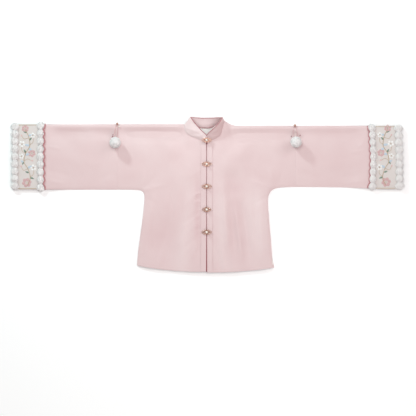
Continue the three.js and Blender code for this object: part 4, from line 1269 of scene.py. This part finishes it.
# %% [markdown]
# ## Embroidery on the cuffs
#
# Each band carries a traditional flower scroll, as old as sleeve bands themselves: a gold stem
# with blossoms and leaves to both sides. In satin stitch, threads lie side by side across a
# padded shape, so each petal is a small dome whose threads run one way. A petal starts as a
# grid; its rows become the width and its height is a dome. Blossoms are rings of petals with
# knots in the middle.

# %% Thread material
def thread(name, code):
    """Embroidery thread: ribs across the shape by the piece's own UV map, with painted shade in the
    grooves.
    """
    material, tree, shader = new_material(name, Sheen_Weight=0.25, Roughness=0.4)
    uv = add(tree, "ShaderNodeUVMap").outputs[0]
    # Threads of 0.4 mm are drawn about 0.8 mm wide.
    ribs = add(tree, "ShaderNodeTexWave", {"Vector": uv, "Scale": 3.0, "Distortion": 0.6},
               wave_type="BANDS", bands_direction="Y").outputs["Fac"]
    # The grooves between threads are painted a fifth darker: painted shade between the threads.
    two_tone(tree, shader, ribs, tuple(c * 0.82 for c in colour(code)), colour(code))
    relief(tree, shader, ribs, 0.5, 0.2)
    return material


THREADS = {"gold": "BF9F70", "blue": "C2CFDB", "white": "F2F0EE", "pink": "D2ABAB",
           "green": "7C8F80", "blush": "DDB9B6"}
thread_materials = {name: thread(f"{name} silk thread", code) for name, code in THREADS.items()}


# %% Stitched shapes
PADDING, KNOTS = 1.1, 5


def padded_petal(bm, place, angle, length, width, blunt=0.7):
    """One satin-stitch petal or leaf: a grid drawn in to a leaf outline and domed."""
    made = bmesh.ops.create_grid(bm, x_segments=6, y_segments=8, size=0.5, calc_uvs=True)
    uv = bm.loops.layers.uv.active
    for face in {face for vert in made["verts"] for face in vert.link_faces}:
        for loop in face.loops:
            loop[uv].uv = loop[uv].uv * Vector((1.0, length / 8))
    cos, sin = math.cos(angle), math.sin(angle)
    for vert in made["verts"]:
        u, v = vert.co.x * 2, vert.co.y + 0.5
        half = width / 2 * math.sin(math.pi * min(max(v, 0), 1) ** blunt) ** 0.75
        across, along = u * half, v * length
        dome = math.sin(math.pi * v) ** 0.6 * math.cos(u * math.pi / 2) if 0 < v < 1 else 0
        x = place[0] + along * cos - across * sin
        y = place[1] + along * sin + across * cos
        vert.co, _ = on_cloth(x, y, PADDING * max(dome, 0.0) + 0.05)


def ring_of(place, reach, count, turn):
    """The angles and places of a few points round a place."""
    for i in range(count):
        angle = turn + 2 * math.pi * i / count
        yield angle, (place[0] + reach * math.cos(angle), place[1] + reach * math.sin(angle))


def blossom(shapes, petal, place, size, petals, turn):
    """A ring of petals round a knotted centre."""
    for angle, start in ring_of(place, 0.14 * size, petals, turn):
        padded_petal(shapes[petal], start, angle, size * 0.5, size * 0.46, blunt=1.3)
    for _, knot in ring_of(place, 0.08 * size, KNOTS, turn + math.pi / KNOTS):
        ball(shapes["gold"], on_cloth(*knot, 1.0)[0], 0.8 * MM)


def draped(points, count):
    """A smooth route over the garment, flat, through places on it."""
    return smooth_route([Vector((x, y, 0)) for x, y in points], count * len(points))


def stem(shapes, points, width):
    """A corded gold line laid along a smooth route on the cloth."""
    route = [on_cloth(p.x, p.y, 0.4)[0] for p in draped(points, 8)]
    sweep(shapes["gold"], route, width / 2 * MM, sides=6, plies=2, turn=4 * MM)


# %% The scroll
# Distances across the band from its inner edge outwards, and up from its lower fold.
BAND_INNER, BAND_FOOT = {LEFT: -661, RIGHT: 659}, {LEFT: 22, RIGHT: 24}
EDGE_CORD = 3.0
SCROLL = [(38, 14), (26, 44), (34, 78), (50, 106), (44, 140), (28, 168), (32, 204), (46, 232)]
TWIGS = [
    [(27, 48), (14, 58), (12, 74)], [(35, 80), (52, 74), (60, 86)],
    [(50, 110), (36, 118), (22, 112)], [(44, 140), (58, 150), (60, 166)],
    [(29, 172), (16, 182), (14, 198)], [(32, 200), (50, 196), (58, 206)],
]
LEAVES = [
    ("green", 27, 46, 200, 17, 7), ("green", 31, 64, 20, 16, 7), ("blue", 36, 82, 150, 20, 9),
    ("blue", 50, 104, 30, 16, 8), ("green", 50, 108, -60, 15, 6), ("blue", 46, 134, 170, 22, 9),
    ("green", 43, 142, 60, 16, 7), ("blue", 33, 160, 215, 20, 9), ("blue", 28, 170, 10, 22, 9),
    ("green", 30, 190, 130, 16, 7), ("blue", 34, 208, 160, 20, 8), ("green", 40, 220, 20, 15, 6),
    ("blush", 60, 86, 70, 9, 6), ("blush", 22, 112, 190, 9, 6), ("blush", 58, 206, 60, 9, 6),
]
BLOSSOMS = [
    ("pink", 40, 26, 30, 6, 0.2), ("white", 14, 84, 20, 5, 0.5), ("white", 60, 128, 17, 5, 0.1),
    ("pink", 20, 140, 24, 6, 0.7), ("white", 58, 176, 21, 5, 0.9), ("white", 16, 210, 17, 5, 0.3),
    ("pink", 46, 236, 23, 6, 0.4),
]
for side, sign in SIGNS.items():
    shapes = {name: bmesh.new() for name in THREADS}
    for bm in shapes.values():
        bm.loops.layers.uv.new("UVMap")

    def band_place(across, up):
        return (BAND_INNER[side] + sign * across, BAND_FOOT[side] + up)

    stem(shapes, [band_place(*p) for p in SCROLL], 2.2)
    for twig in TWIGS:
        stem(shapes, [band_place(*p) for p in twig], 1.3)
    for corner, inward in zip(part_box(f"cuff_front_{side}"), (EDGE_CORD, -EDGE_CORD)):
        edge = tape(Vector(corner))[1] + inward
        stem(shapes, [(BAND_INNER[side] + sign * across, edge) for across in (-4, 22, 48, 74)], 1.6)
    for name, across, up, degrees, length, width in LEAVES:
        angle = math.radians(degrees if sign > 0 else 180 - degrees)
        padded_petal(shapes[name], band_place(across, up), angle, length, width)
    for name, across, up, size, petals, turn in BLOSSOMS:
        blossom(shapes, name, band_place(across, up), size, petals, turn)
    for name, bm in shapes.items():
        slot = "silk_cord" if name != "white" else "cuff_satin"
        piece(f"embroidery_{name}_{side}", bm, thread_materials[name])
print("embroidery:", sum(v for k, v in TRIANGLES.items() if "embroidery" in k), "triangles")

# %% [markdown]
# ## Stitching
#
# Fine running stitches hold the hem and both edges of each facing band. One stitch is a slim
# rounded bar, and a row of them is one mesh. They are laid every few millimetres along a line
# that follows the cloth.

# %% Stitch rows
# The thread is a shade deeper than the cloth; part of that is painted shade, for the dark lines
# along the bands' edges.
sewing_thread = silk("pink sewing thread", "CBA9AA")
STITCH, GAP, STITCH_WIDTH, STITCH_HEIGHT = 2.6, 1.5, 0.6, 0.5


def stitch_line(bm, points):
    """Running stitches along a line of places on the cloth."""
    flat = draped(points, 12)
    travelled, wanted = 0.0, 0.0
    for a, b in zip(flat, flat[1:]):
        step = (b - a).length
        while wanted <= travelled + step:
            p = a.lerp(b, (wanted - travelled) / step)
            centre, normal = on_cloth(p.x, p.y, 0.12)
            along = (b - a).normalized()
            turn = along.to_track_quat("X", "Z").to_matrix().to_4x4()
            halves = [size / 2 * MM for size in (STITCH, STITCH_WIDTH, STITCH_HEIGHT)]
            shape = Matrix.Diagonal((*halves, 1))
            bmesh.ops.create_uvsphere(bm, u_segments=6, v_segments=4, radius=1.0,
                                      matrix=Matrix.Translation(centre) @ turn @ shape)
            wanted += STITCH + GAP
        travelled += step


rows = bmesh.new()
stitch_line(rows, [(-262, -264), (-200, -275), (-140, -281.5), (-80, -286), (-28, -288)])
stitch_line(rows, [(250, -272), (190, -280), (130, -286), (80, -289.5), (24, -291)])
for x in (-22.4, -5.4, 5.6, 22.2):
    stitch_line(rows, [(x, 192), (x, 60), (x, -100), (x * 1.02, -294)])
piece("stitches", rows, sewing_thread)
print("stitches:", TRIANGLES["stitches"], "triangles")

# %% Sizes
print("triangles in all:", sum(TRIANGLES.values()))
